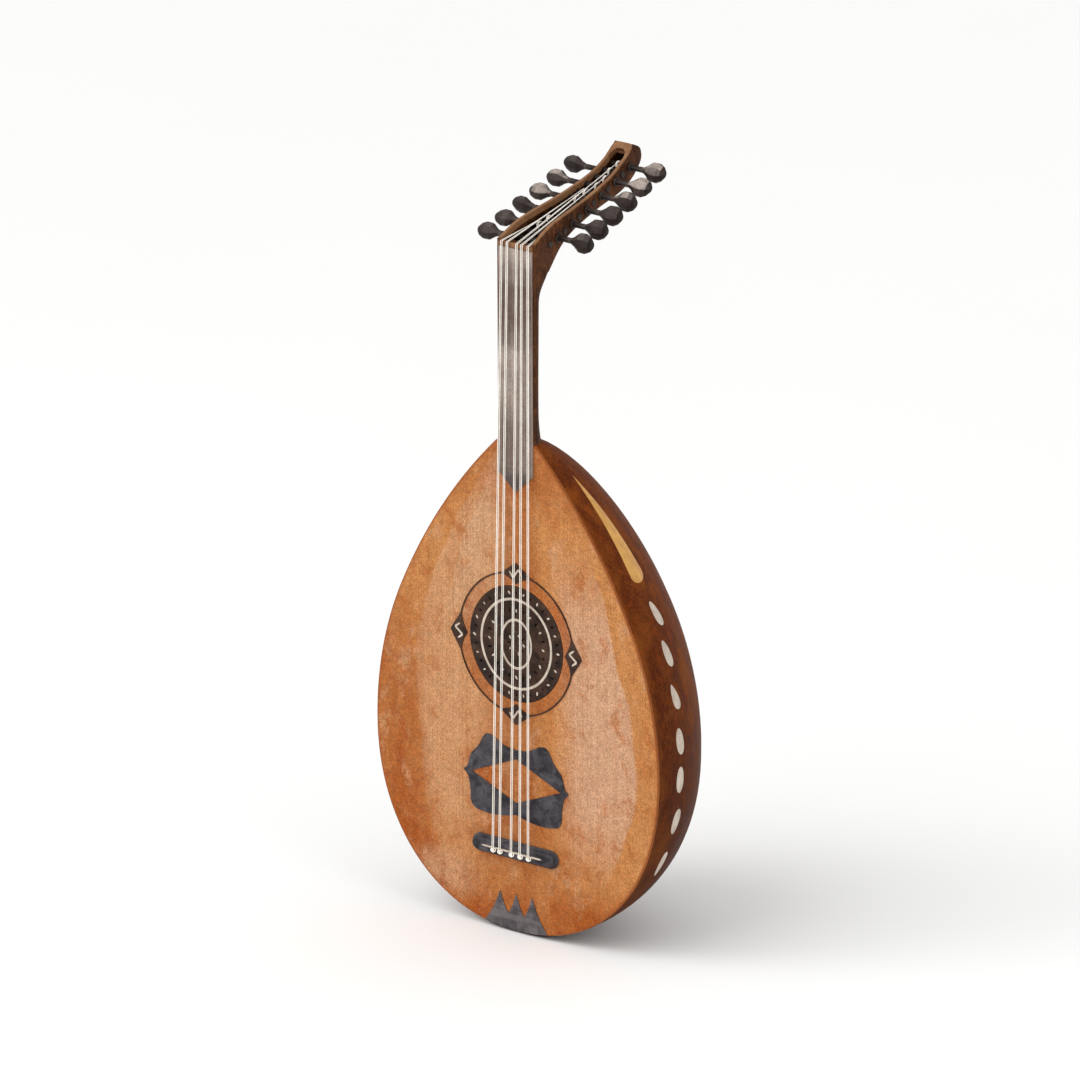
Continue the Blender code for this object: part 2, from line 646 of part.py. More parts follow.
def peg(number):
    """A tapered shaft, a slim stem and a flattened head, lofted along the peg's own axis."""
    y, z = peg_axis(number)
    side, half = peg_side(number), pegbox_half(y)
    shaft = (
        (-half - PEG_OVERHANG, SHAFT_TIP_RADIUS - PEG_CHAMFER),
        (-half - PEG_OVERHANG + PEG_CHAMFER, SHAFT_TIP_RADIUS),
        (-half, SHAFT_TIP_RADIUS),
        (half, SHAFT_HEAD_RADIUS),
        (half + COLLAR, SHAFT_HEAD_RADIUS),
    )
    stations = [(x, radius, radius) for x, radius in shaft]
    stations += [(half + STEM_LENGTH + x * MM, a * MM, b * MM) for x, a, b in HEAD]
    turns = [math.tau * (i + 0.5) / PEG_SIDES for i in range(PEG_SIDES)]
    sections = [[(side * x, b * math.sin(t), a * math.cos(t)) for t in turns] for x, a, b in stations]
    obj = loft(f"peg_{number + 1:02d}", sections, "peg_wood", (0, y, TAIL + NUT_Z + z))
    obj.rotation_euler = (math.radians(PEG_REST_TURNS[number]), 0, 0)


def strings():
    """Each string runs from behind the saddle, over the nut, to the front of its own peg's shaft."""
    number = FIRST_STRUNG_PEG
    nut_y, saddle_y = NUT_FRONT - STRING_LIFT, SADDLE_FRONT - STRING_LIFT
    for nut_x, bridge_x in COURSES:
        for off in (-COURSE_HALF_GAP, COURSE_HALF_GAP):
            x_nut, x_bridge = nut_x * MM + off, bridge_x * MM + off
            axis = peg_axis(number)
            room = pegbox_half(axis.x) - CHEEK - STRING_WALL_ROOM
            x_peg = x_nut * min(1.0, room / (COURSES[1][0] * MM + COURSE_HALF_GAP))
            start = Vector((nut_y, NUT_WIDTH / 2 + STRING_PAST_NUT))
            reach = shaft_radius(number, x_peg) + PEG_LIFT
            end = tangent_point(start, axis, reach)
            route = [
                (x_bridge, saddle_y, TAIL + BRIDGE_Z - STRING_TAIL),
                (x_nut, nut_y, TAIL + NUT_Z),
                (x_nut, start.x, TAIL + NUT_Z + start.y),
                (x_peg, end.x, TAIL + NUT_Z + end.y),
            ]
            wire(f"string_{number - FIRST_STRUNG_PEG + 1:02d}", route)
            number += 1


def tangent_point(start, middle, radius):
    """Where a line from start touches the front of a circle, in the side view."""
    to_middle = middle - start
    spread = math.acos(radius / to_middle.length)
    away = -to_middle.normalized()
    cos, sin = math.cos(-spread), math.sin(-spread)
    return middle + Vector((away.x * cos - away.y * sin, away.x * sin + away.y * cos)) * radius


def wire(name, route):
    curve = bpy.data.curves.new(name, "CURVE")
    curve.dimensions = "3D"
    curve.bevel_depth = STRING_RADIUS
    curve.bevel_resolution = 1
    curve.use_fill_caps = True
    spline = curve.splines.new("POLY")
    spline.points.add(len(route) - 1)
    for point, place in zip(spline.points, route):
        point.co = (*place, 1)
    add(name, curve, "string")


clear_scene()
oud = new_collection("oud")
cutters = new_collection("cutters", hidden=True)
rim_line, back_line = smooth_line(RIM), smooth_line(BACK)
soundboard()
rosette()
rosette_ring()
pickguard()
tail_spikes()
bridge()
bowl()
blocks()
tail_cap()
braces()
neck()
fingerboard()
pegbox()
for peg_number in range(PEGS):
    peg(peg_number)
strings()
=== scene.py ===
import math
import random

import bmesh
import bpy
import numpy as np
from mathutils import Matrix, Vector


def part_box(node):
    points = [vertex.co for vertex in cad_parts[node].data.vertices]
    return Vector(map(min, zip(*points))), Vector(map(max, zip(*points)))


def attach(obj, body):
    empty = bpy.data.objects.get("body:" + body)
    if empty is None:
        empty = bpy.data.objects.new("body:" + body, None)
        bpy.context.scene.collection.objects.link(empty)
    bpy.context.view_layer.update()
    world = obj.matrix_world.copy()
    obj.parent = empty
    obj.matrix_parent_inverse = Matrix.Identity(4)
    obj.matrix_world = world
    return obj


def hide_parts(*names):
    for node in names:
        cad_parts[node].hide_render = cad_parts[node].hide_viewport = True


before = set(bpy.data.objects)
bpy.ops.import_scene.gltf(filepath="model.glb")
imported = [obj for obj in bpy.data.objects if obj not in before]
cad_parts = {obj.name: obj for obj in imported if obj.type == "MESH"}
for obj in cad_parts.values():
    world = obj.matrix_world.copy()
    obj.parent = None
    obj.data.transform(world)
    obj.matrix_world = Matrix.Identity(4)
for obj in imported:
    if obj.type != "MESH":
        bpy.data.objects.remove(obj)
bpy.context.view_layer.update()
random.seed(12)

MM = 0.001
TRUNK = "instrument"
TAIL = 1.5 * MM  # height of the soundboard's lowest point
PEGS = 12

# Body outline and bowl depth, the same curves as the CAD's, drawn with more points.
HALF_WIDTH, WIDEST, BODY_LENGTH = 177 * MM, 187 * MM, 498 * MM
TAIL_POWER, HIP_RADIUS, HIP_TURN, SHOULDER_RADIUS = 2.15, 330 * MM, math.radians(25), 570 * MM
DEPTH, TAIL_DEPTH_POWER, FLANK_DEPTH_REACH, FLANK_DEPTH_POWER = 180 * MM, 2.4, 317 * MM, 0.63
TAIL_STEPS, FLANK_STEPS = 30, 44
SIDE_RIB_ANGLE, MIDDLE_RIBS = math.radians(30), 11
RIB_THICKNESS, RIB_START_RADIUS = 2.6 * MM, 8 * MM
SEAM_HALF, SEAM_PROUD = 0.35 * MM, 0.08 * MM

# Soundboard furniture. Heights are above the soundboard's lowest point.
BOARD_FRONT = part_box("soundboard")[0].y
BINDING = 1.3 * MM
ROSETTE_Z = (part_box("rosette")[0].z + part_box("rosette")[1].z) / 2 - TAIL
ROSETTE_RADIUS = 58.2 * MM
RING_RADIUS, RING_HALF = 71.5 * MM, 0.7 * MM
MEDALLION_HALF_WIDTH, MEDALLION_HALF_LENGTH = 10 * MM, 19 * MM
VENEER_FRONT, VENEER_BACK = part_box("pickguard")[0].y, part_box("pickguard")[1].y
VENEER_SINK = 0.3 * MM  # how far the veneers reach into the board
GUARD_Z, BRIDGE_Z, NUT_Z = 153.5 * MM, 83 * MM, 694 * MM

# Pegbox side view, as in the CAD: (back, up) from the nut line.
RIM = ((-2, 3), (28, 16.5), (85, 29.5), (126, 42), (149, 55), (163, 67.5))
BACK = (
    (20, -27), (40, -6.5), (62, 5.5), (100, 17), (138, 25.5), (159, 35.5), (173, 50), (172, 62), (163, 67.5),
)
LINE_STEPS = 12
PEGBOX_HALF, PEGBOX_TAPER, CHEEK = 24 * MM, 0.07, 4.2 * MM

# The neck's depth as (share of the way up, millimetres), and its squarer end at the pegbox.
NECK_ROWS = ((0.05, 19.5), (0.133, 16.2), (0.3, 15.0), (0.5, 15.0), (0.7, 15.0))
NECK_HALF_AT_NUT, NECK_END_POWER = 24 * MM, 14
FIRST_PEG, LAST_PEG, PEG_SAG = (22, 0), (154, 47), 1
SHAFT_HEAD_RADIUS, SHAFT_TIP_RADIUS = 3.8 * MM, 3.1 * MM
PEG_REST_TURNS = (-30, -5, -42, -15, 6, -25, -35, -10, -20, -40, -2, -26)

# Strings: five courses of two, (nut x, bridge x) of each course's middle, in millimetres.
COURSES = ((-15, -22), (17.8, 22.5), (-8, -13.5), (10, 12), (3.8, 1))
COURSE_HALF_GAP = 0.9 * MM
STRING_RADIUS = 0.42 * MM


# Side inlays: height, degrees round from the soundboard, half length, half width, lean, narrowing to the top.
LOZENGES = (
    (339, 18.8, 12.0, 6.2, -1.2, 0.25),
    (303, 15.8, 12.8, 6.5, -0.6, 0.25),
    (263, 13.4, 12.6, 6.1, -1.0, 0.45),
    (220, 12.4, 13.2, 7.2, -0.4, 0.1),
    (182, 11.6, 13.0, 7.0, 0.2, 0.05),
    (139, 11.4, 12.6, 7.2, 0.5, -0.1),
    (94, 10.6, 13.0, 5.4, 0.2, -0.2),
)
DROP_Z, DROP_TURN, DROP_HALF_LENGTH, DROP_HALF_WIDTH = 418 * MM, math.radians(18.9), 49 * MM, 12.5 * MM

# The mark in each medallion, along the ring and across it, and the guard's right half, in millimetres.
ZIGZAG = ((-8.0, -1.6), (-3.4, 4.6), (3.4, -4.6), (8.0, 1.6))
GUARD_CORNERS = (
    (0, 32), (15, 34), (29, 41), (37, 41.5), (42, 37), (47, 28), (57, 17), (61, 5), (66, 0),
    (60, -7), (57.5, -20), (57, -30), (52, -36.5), (40, -39), (26, -39), (12, -37), (0, -34),
)
SHARP_CORNERS = ((66, 0),)

# Pegs. The head's stations are few, so that its flats are broad.
STEM_LENGTH, HEAD_LENGTH, PEG_OVERHANG = 20 * MM, 24 * MM, 1.4 * MM
HEAD = (  # (distance past the stem, half width, half thickness), in millimetres
    (-2.6, 2.7, 2.7), (2.0, 4.8, 4.0), (8.0, 9.4, 4.9), (15.0, 9.8, 4.6), (20.5, 7.2, 3.8), (24, 3.2, 2.2),
)
LEFT_HEAD_SIZE = 0.87  # the left heads' share of the right ones' width and thickness
# Painted light on the peg heads: how pale the lit upper flats of each peg are painted, and the side that light
# is taken to fall from.
LIT_FLAT_PALENESS = (0.2, 0.5, 0.25, 0.1, 0.3, 0.1, 0.9, 0.8, 0.8, 1.0, 0.2, 1.0)  # how pale each upper flat is
PAINTED_LIGHT_SIDE = Vector((0, -0.6, 0.8))

# The view, with a long lens, and the light.
AZIMUTH, ELEVATION = math.radians(39.5), math.radians(17.2)
FRAME_WIDTH, LENS, SENSOR = 1.0526, 400.0, 36.0
AIM_ACROSS, AIM_UP = 0.0229, 0.3811  # of the middle of the view, from the foot of the soundboard
WORLD_LIGHT, SUN_LIGHT, SUN_SPREAD = 0.8, 1.15, math.radians(60)
FLOOR_HALF = 16.0


# ---------------------------------------------------------------- materials

def rgb(red, green, blue):
    """A colour given in the usual 0 to 255 steps, as Blender's linear values."""
    return (*[(c / 255) ** 2.2 for c in (red, green, blue)], 1.0)


class Paint:
    """A procedural material under construction. Its places are in metres, in the rest frame."""

    def __init__(self, name, **constants):
        self.material = bpy.data.materials.new(name)
        self.material.use_nodes = True
        self.tree = self.material.node_tree
        self.shader = self.tree.nodes["Principled BSDF"]
        for socket, value in constants.items():
            self.shader.inputs[socket.replace("_", " ")].default_value = value
        self.place = self.add("ShaderNodeTexCoord").outputs["Object"]

    def add(self, kind, inputs=(), **settings):
        made = self.tree.nodes.new(kind)
        for key, value in settings.items():
            setattr(made, key, value)
        for socket, value in dict(inputs).items():
            if isinstance(value, bpy.types.NodeSocket):
                self.tree.links.new(value, made.inputs[socket])
            else:
                made.inputs[socket].default_value = value
        return made

    def noise(self, size, stretch=(1, 1, 1), detail=4.0, roughness=0.6, distortion=0.0):
        """Cloudy values from 0 to 1, whose patches are about size across, times stretch along each axis."""
        scale = [1 / (size * s) for s in stretch]
        vector = self.add("ShaderNodeMapping", {"Vector": self.place, "Scale": scale}).outputs[0]
        made = self.add("ShaderNodeTexNoise", {
            "Vector": vector, "Scale": 1.0, "Detail": detail, "Roughness": roughness, "Distortion": distortion,
        })
        return made.outputs[0]

    def band(self, value, low, high, to_low=0.0, to_high=1.0):
        """value taken smoothly from low..high to to_low..to_high."""
        made = self.add("ShaderNodeMapRange", {
            "Value": value, "From Min": low, "From Max": high, "To Min": to_low, "To Max": to_high,
        }, interpolation_type="SMOOTHSTEP")
        return made.outputs[0]

    def math(self, operation, *values):
        return self.add("ShaderNodeMath", dict(enumerate(values)), operation=operation).outputs[0]

    def mix(self, factor, first, second, blend="MIX"):
        made = self.add("ShaderNodeMix", {0: factor, 6: first, 7: second}, data_type="RGBA", blend_type=blend)
        return made.outputs[2]

    def attribute(self, name):
        return self.add("ShaderNodeAttribute", attribute_name=name).outputs["Fac"]

    def axis(self, letter):
        return self.add("ShaderNodeSeparateXYZ", {0: self.place}).outputs[letter]

    def distance(self, centre, scale):
        """Distance from a point, with each axis divided by its scale."""
        moved = self.add("ShaderNodeVectorMath", {0: self.place, 1: centre}, operation="SUBTRACT").outputs[0]
        sized = self.add("ShaderNodeVectorMath", {0: moved, 1: scale}, operation="DIVIDE").outputs[0]
        return self.add("ShaderNodeVectorMath", {0: sized}, operation="LENGTH").outputs["Value"]

    def speckled(self, colour, size=1.5 * MM, low=0.68, high=1.3):
        """The colour with a fine grain of lighter and darker specks."""
        fine = self.band(self.noise(size, detail=3, roughness=0.7), 0.28, 0.72, low, high)
        shade = self.add("ShaderNodeCombineColor", {0: fine, 1: fine, 2: fine}).outputs[0]
        return self.mix(1.0, colour, shade, "MULTIPLY")

    def worn(self, colour, lighter, amount=0.5):
        """The colour rubbed lighter along its sharp edges."""
        sharp = self.add("ShaderNodeNewGeometry").outputs["Pointiness"]
        edge = self.math("MULTIPLY", self.band(sharp, 0.51, 0.58), self.noise(6 * MM))
        return self.mix(self.math("MULTIPLY", edge, amount * 2), colour, lighter)

    def finish(self, colour, height, depth, roughness=None):
        """Connects colour, bump and roughness, and gives the material."""
        link = self.tree.links.new
        link(colour, self.shader.inputs["Base Color"])
        bump = self.add("ShaderNodeBump", {"Height": height, "Distance": depth, "Strength": 1.0})
        link(bump.outputs[0], self.shader.inputs["Normal"])
        if roughness is not None:
            link(roughness, self.shader.inputs["Roughness"])
        return self.material


def wood(name, dark, middle, light, rust=None, grain=(1.6 * MM, 1.6 * MM, 45 * MM), level=0.14,
         painted_shade_climb=(1.0, 1.0)):
    """Varnished wood: long grain, slow mottling and fine pores.

    grain is the size of a streak along each axis, level the strength of its gloss, and the height pair at the
    end
    paints shade and light up the body: how bright the colour is made at the body's foot and at its shoulders.
    """
    paint = Paint(name, Specular_IOR_Level=level, Coat_Weight=0.02, Coat_Roughness=0.3)
    streaks = paint.noise(1.0, grain, detail=5, roughness=0.65, distortion=0.4)
    clouds = paint.noise(34 * MM, (1, 1, 1.6), detail=5, distortion=0.6)
    colour = paint.mix(paint.band(streaks, 0.32, 0.68), dark, middle)
    colour = paint.mix(paint.band(clouds, 0.42, 0.72, 0, 0.75), colour, light)
    if rust:
        spots = paint.noise(8 * MM, (1, 1, 1.4), detail=7, roughness=0.74)
        colour = paint.mix(paint.band(spots, 0.5, 0.68, 0, 0.6), colour, rust)
    colour = paint.worn(paint.speckled(colour), light, 0.35)
    # Painted shade and light: the colour is darkened towards the body's foot and brightened towards its
    # shoulders, by height alone.
    shade = paint.band(paint.axis("Z"), 0.06, 0.46, *painted_shade_climb)
    shade = paint.add("ShaderNodeCombineColor", {0: shade, 1: shade, 2: shade}).outputs[0]
    colour = paint.mix(1.0, colour, shade, "MULTIPLY")
    pores = paint.noise(1.0, (0.5 * MM, 0.5 * MM, 9 * MM), detail=3)
    height = paint.math("ADD", streaks, pores)
    return paint.finish(colour, height, 0.12 * MM, paint.band(clouds, 0.3, 0.7, 0.46, 0.66))


def spruce_top():
    """The soundboard: straight pale grain under an orange-brown varnish, darker where it has pooled.

    "across" runs from -1 at the left edge to 1 at the right, "edge" is the distance to the nearest edge, and
    up is the height in metres.
    """
    paint = Paint("spruce_top", Specular_IOR_Level=0.14, Coat_Weight=0.06, Coat_Roughness=0.3)
    tan, orange, pale = rgb(182, 122, 70), rgb(150, 76, 20), rgb(190, 145, 108)
    rust = rgb(140, 62, 16)
    across, edge = paint.attribute("across"), paint.attribute("edge")
    up = paint.axis("Z")
    slow = paint.noise(70 * MM, (0.8, 1, 1.7), detail=5, distortion=0.5)
    wobble = paint.noise(120 * MM, (1, 1, 2), detail=2)
    shifted = paint.math("ADD", across, paint.band(wobble, 0.3, 0.7, -0.05, 0.05))

    # The right-hand plank is the palest, and the one beside it narrows to a wedge near the neck.
    right = paint.math("MULTIPLY", paint.band(shifted, 0.25, 0.5), paint.band(shifted, 0.82, 0.8))
    right = paint.math("MULTIPLY", right, paint.band(up, 0.045, 0.16))
    right = paint.math("MULTIPLY", right, paint.band(up, 0.42, 0.31))
    left = paint.math("MULTIPLY", paint.band(shifted, -0.585, -0.56), paint.band(shifted, -0.1, -0.45))
    left = paint.math("MULTIPLY", left, paint.band(up, 0.26, 0.38))
    inner = paint.math("MULTIPLY", paint.band(shifted, -0.735, -0.71), paint.band(shifted, 0.2, -0.3))
    inner = paint.math("MULTIPLY", inner, paint.band(up, 0.03, 0.13))
    colour = paint.mix(paint.math("MULTIPLY", inner, 0.55), tan, pale)
    colour = paint.mix(paint.math("MULTIPLY", left, 0.9), colour, pale)
    colour = paint.mix(paint.math("MULTIPLY", right, 0.85), colour, rgb(194, 152, 122))

    # Darker varnish: the low left edge, the foot, and round the rosette, the guard and the bridge.
    low_left = paint.math("MULTIPLY", paint.band(shifted, -0.62, -0.8), paint.band(up, 0.36, 0.2))
    foot = paint.band(up, 0.085, 0.02)
    neck_end = paint.math("MULTIPLY", paint.band(up, 0.41, 0.47), 0.75)
    middle = paint.math("MULTIPLY", paint.band(paint.math("ABSOLUTE", shifted), 0.3, 0.1), 0.45)
    centre = (0, BOARD_FRONT, TAIL + ROSETTE_Z)
    ring = paint.distance(centre, (1, 1, 1))
    rosette = paint.math("MULTIPLY", paint.band(ring, RING_RADIUS + 3 * MM, RING_RADIUS - 1 * MM), 0.66)
    guard = paint.distance((0, BOARD_FRONT, TAIL + GUARD_Z - 8 * MM), (0.066, 1, 0.05))
    bridge = paint.distance((0, BOARD_FRONT, TAIL + BRIDGE_Z), (0.068, 1, 0.022))
    halo = paint.math("MAXIMUM", paint.band(guard, 1.3, 0.8), paint.band(bridge, 1.7, 0.7))
    uneven = paint.band(paint.noise(24 * MM, detail=5, roughness=0.65), 0.36, 0.64, 0.1, 1.0)
    halo = paint.math("MULTIPLY", halo, uneven)
    pooled = low_left
    for other in (foot, neck_end, middle, rosette, halo):
        pooled = paint.math("MAXIMUM", pooled, other)
    blotches = paint.band(slow, 0.3, 0.7, 0.45, 1.2)
    colour = paint.mix(paint.math("MULTIPLY", pooled, blotches), colour, orange)
    wash = paint.noise(30 * MM, (1, 1, 1.4), detail=8, roughness=0.72, distortion=0.4)
    # A washed-out place low on the left, then orange and pale clouds, ruddy patches and a darker rim.
    low_pale = paint.distance((-0.09, BOARD_FRONT, TAIL + 0.042), (0.05, 1, 0.03))
    colour = paint.mix(paint.band(low_pale, 1.2, 0.3, 0, 0.7), colour, pale)
    colour = paint.mix(paint.band(wash, 0.51, 0.66, 0, 0.65), colour, rgb(160, 88, 36))
    colour = paint.mix(paint.band(wash, 0.47, 0.33, 0, 0.6), colour, pale)
    patches = paint.noise(17 * MM, (1, 1, 1.2), detail=7, roughness=0.7)
    ruddy = paint.math("MULTIPLY", paint.band(patches, 0.46, 0.72), paint.band(pooled, 0.1, 1.0, 0.2, 0.75))
    colour = paint.mix(ruddy, colour, rust)
    rim = paint.band(edge, 5 * MM, 0.0, 0, 0.35)
    colour = paint.mix(rim, colour, rust)

    # Year rings up the board, silk across them, and the grain of the surface.
    rings = paint.noise(1.0, (1.1 * MM, 1, 900 * MM), detail=2, roughness=0.4)
    colour = paint.mix(paint.band(rings, 0.42, 0.66, 0, 0.26), colour, rgb(150, 88, 44))
    silk = paint.noise(1.0, (7 * MM, 1, 1.4 * MM), detail=3)
    colour = paint.mix(paint.band(silk, 0.5, 0.8, 0, 0.2), colour, pale)
    colour = paint.speckled(colour, 5 * MM, 0.86, 1.1)
    colour = paint.speckled(colour, 1.7 * MM, 0.66, 1.3)
    height = paint.math("ADD", rings, paint.math("MULTIPLY", paint.noise(0.8 * MM, detail=2), 0.4))
    return paint.finish(colour, height, 0.06 * MM, paint.band(slow, 0.3, 0.7, 0.42, 0.6))


def fingerboard_wood():
    """Grey-brown hardwood, dusty pale where fingers and strings have polished it."""
    paint = Paint("fingerboard_wood", Specular_IOR_Level=0.1, Coat_Weight=0.03, Coat_Roughness=0.3)
    up = paint.axis("Z")
    streaks = paint.noise(1.0, (2.2 * MM, 1, 90 * MM), detail=5, roughness=0.6)
    clouds = paint.noise(30 * MM, (0.9, 1, 1.3), detail=5, distortion=0.5)
    grey, brown, pale, deep = rgb(128, 114, 106), rgb(74, 52, 42), rgb(174, 160, 151), rgb(72, 63, 61)
    colour = paint.mix(paint.band(streaks, 0.35, 0.65), rgb(90, 75, 69), grey)
    washed = paint.math("MULTIPLY", paint.band(up, 0.668, 0.688), 0.65)
    middle = paint.math("MULTIPLY", paint.band(up, 0.60, 0.585), paint.band(up, 0.50, 0.57))
    middle = paint.math("MULTIPLY", middle, paint.band(clouds, 0.35, 0.6, 0.2, 0.75))
    colour = paint.mix(paint.math("MAXIMUM", washed, middle), colour, pale)
    bare = paint.math("MULTIPLY", paint.band(up, 0.665, 0.65), paint.band(up, 0.60, 0.625))
    colour = paint.mix(paint.math("MULTIPLY", bare, paint.band(clouds, 0.3, 0.6, 0.5, 0.9)), colour, brown)
    colour = paint.mix(paint.math("MULTIPLY", paint.band(up, 0.475, 0.462), 0.8), colour, deep)
    colour = paint.mix(paint.band(streaks, 0.6, 0.72, 0, 0.35), colour, pale)
    colour = paint.worn(paint.speckled(colour), pale, 0.4)
    return paint.finish(colour, streaks, 0.08 * MM, paint.band(clouds, 0.3, 0.7, 0.38, 0.6))


def slate(name, dark, light):
    """Dark inlay with a faint grain and cloudy lighter patches."""
    paint = Paint(name, Specular_IOR_Level=0.15)
    grain = 3 * MM
    clouds = paint.noise(16 * MM, detail=6, roughness=0.62, distortion=0.4)
    fibres = paint.noise(1.0, (grain * 4, grain, grain * 0.5), detail=4)
    colour = paint.mix(paint.band(clouds, 0.36, 0.68), dark, light)
    colour = paint.mix(paint.band(fibres, 0.5, 0.7, 0, 0.35), colour, dark)
    colour = paint.worn(paint.speckled(colour, 1.1 * MM, 0.72, 1.25), light, 0.6)
    return paint.finish(colour, fibres, 0.05 * MM, paint.band(clouds, 0.3, 0.7, 0.42, 0.65))


def peg_wood():
    """Dark turned wood, with painted light on its flats: a per-face value paints the flats that face up and to
    the front pale, as if lit, and the rest dark.
    """
    paint = Paint("peg_wood", Specular_IOR_Level=0.12, Coat_Weight=0.05, Coat_Roughness=0.3)
    facet = paint.attribute("facet")
    clouds = paint.noise(7 * MM, (1.6, 1, 1), detail=5, distortion=0.5)
    grain = paint.noise(1.0, (22 * MM, 1.2 * MM, 1.2 * MM), detail=4)
    # Painted light: the per-face value takes a flat from dark stain to the pale colour of a lit flat.
    colour = paint.mix(paint.band(facet, 0.0, 0.55), rgb(26, 18, 16), rgb(66, 56, 53))
    colour = paint.mix(paint.band(facet, 0.55, 1.0), colour, rgb(168, 154, 145))
    colour = paint.mix(paint.band(clouds, 0.35, 0.7, 0, 0.4), colour, rgb(38, 29, 26))
    colour = paint.mix(paint.band(grain, 0.52, 0.7, 0, 0.3), colour, rgb(28, 20, 17))
    colour = paint.worn(paint.speckled(colour, 1.1 * MM), rgb(130, 118, 108), 0.25)
    return paint.finish(colour, grain, 0.06 * MM, paint.band(clouds, 0.3, 0.7, 0.34, 0.55))


def smooth_stuff(name, low, high, spots, roughness=(0.32, 0.5)):
    """Bone, amber-coloured inlay or gut: nearly plain, with slow colour changes and faint specks."""
    paint = Paint(name, Specular_IOR_Level=0.4)
    clouds = paint.noise(9 * MM, (1, 1, 1.8), detail=4, distortion=0.4)
    colour = paint.mix(paint.band(clouds, 0.32, 0.68), low, high)
    flecks = paint.noise(2.2 * MM, (1, 1, 3), detail=4, roughness=0.7)
    colour = paint.mix(paint.band(flecks, 0.56, 0.74, 0, 0.4), colour, spots)
    colour = paint.speckled(colour, 1.0 * MM, 0.86, 1.12)
    return paint.finish(colour, flecks, 0.03 * MM, paint.band(clouds, 0.3, 0.7, *roughness))


def floor_paint():
    """Plain pale floor with hardly visible clouds."""
    paint = Paint("floor_paint", Specular_IOR_Level=0.1, Roughness=0.9)
    clouds = paint.noise(0.6, detail=3)
    colour = paint.mix(clouds, rgb(243, 243, 242), rgb(246, 246, 245))
    return paint.finish(colour, clouds, 0.02 * MM)


LOOKS = {
    "spruce_top": spruce_top(),
    # The ribs carry painted shade: darker at the body's foot, lighter at its shoulders.
    "rib": wood("rib_walnut", rgb(70, 29, 8), rgb(98, 48, 16), rgb(126, 70, 30), rgb(130, 60, 14),
                level=0.03, painted_shade_climb=(0.62, 1.2)),
    "neck": wood("neck_walnut", rgb(40, 23, 15), rgb(68, 41, 27), rgb(108, 71, 48), rgb(130, 76, 38),
                 level=0.05),
    "seam": wood("seam_wood", rgb(36, 18, 11), rgb(48, 25, 16), rgb(60, 33, 22)),
    "binding": wood("binding_wood", rgb(118, 60, 24), rgb(136, 74, 34), rgb(158, 94, 48)),
    "rim": wood("rim_maple", rgb(98, 62, 38), rgb(126, 86, 56), rgb(156, 118, 86),
                grain=(1.6 * MM, 30 * MM, 8 * MM)),
    "rosette": slate("rosette_wood", rgb(34, 22, 16), rgb(74, 54, 43)),
    "slate": slate("slate_veneer", rgb(38, 36, 40), rgb(82, 79, 83)),
    "spike": slate("spike_veneer", rgb(66, 62, 65), rgb(106, 100, 101)),
    "fingerboard": fingerboard_wood(),
    "peg": peg_wood(),
    "bone": smooth_stuff("bone", rgb(172, 156, 140), rgb(200, 186, 170), rgb(132, 114, 98)),
    "amber": smooth_stuff("amber_inlay", rgb(190, 132, 56), rgb(214, 160, 80), rgb(150, 94, 34)),
    "string": smooth_stuff("gut_string", rgb(238, 230, 218), rgb(252, 248, 240), rgb(204, 192, 176),
                           (0.25, 0.4)),
    "raw": wood("raw_spruce", rgb(168, 126, 80), rgb(188, 148, 100), rgb(202, 166, 120), level=0.1),
}


# ---------------------------------------------------------------- making pieces

def piece(name, mesh, look, nodes=(), body=TRUNK, sharp=40):
    """Puts a mesh in the scene as a finished piece of the object."""
    obj = bpy.data.objects.new(name, mesh)
    bpy.context.scene.collection.objects.link(obj)
    mesh.materials.append(LOOKS[look])
    shape = bmesh.new()
    shape.from_mesh(mesh)
    bmesh.ops.recalc_face_normals(shape, faces=shape.faces)
    shape.to_mesh(mesh)
    shape.free()
    mesh.shade_smooth()
    mesh.set_sharp_from_angle(angle=math.radians(sharp))
    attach(obj, body)
    if nodes:
        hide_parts(*nodes)


def mesh_of(name, points, faces):
    mesh = bpy.data.meshes.new(name)
    mesh.from_pydata([tuple(p) for p in points], [], faces)
    mesh.update()
    return mesh


def skin(name, loops, closed=False):
    """A mesh over a row of loops with the same number of points, capped unless the row closes on itself."""
    count, rows = len(loops[0]), len(loops)
    faces = []
    for row in range(rows if closed else rows - 1):
        after = (row + 1) % rows
        for i in range(count):
            j = (i + 1) % count
            faces.append((row * count + i, row * count + j, after * count + j, after * count + i))
    if not closed:
        faces.append(tuple(reversed(range(count))))
        faces.append(tuple(range((rows - 1) * count, rows * count)))
    return mesh_of(name, [p for loop in loops for p in loop], faces)


def joined(name, meshes):
    """One mesh of several."""
    points, faces = [], []
    for mesh in meshes:
        start = len(points)
        points += [tuple(v.co) for v in mesh.vertices]
        faces += [tuple(start + i for i in p.vertices) for p in mesh.polygons]
        bpy.data.meshes.remove(mesh)
    return mesh_of(name, points, faces)


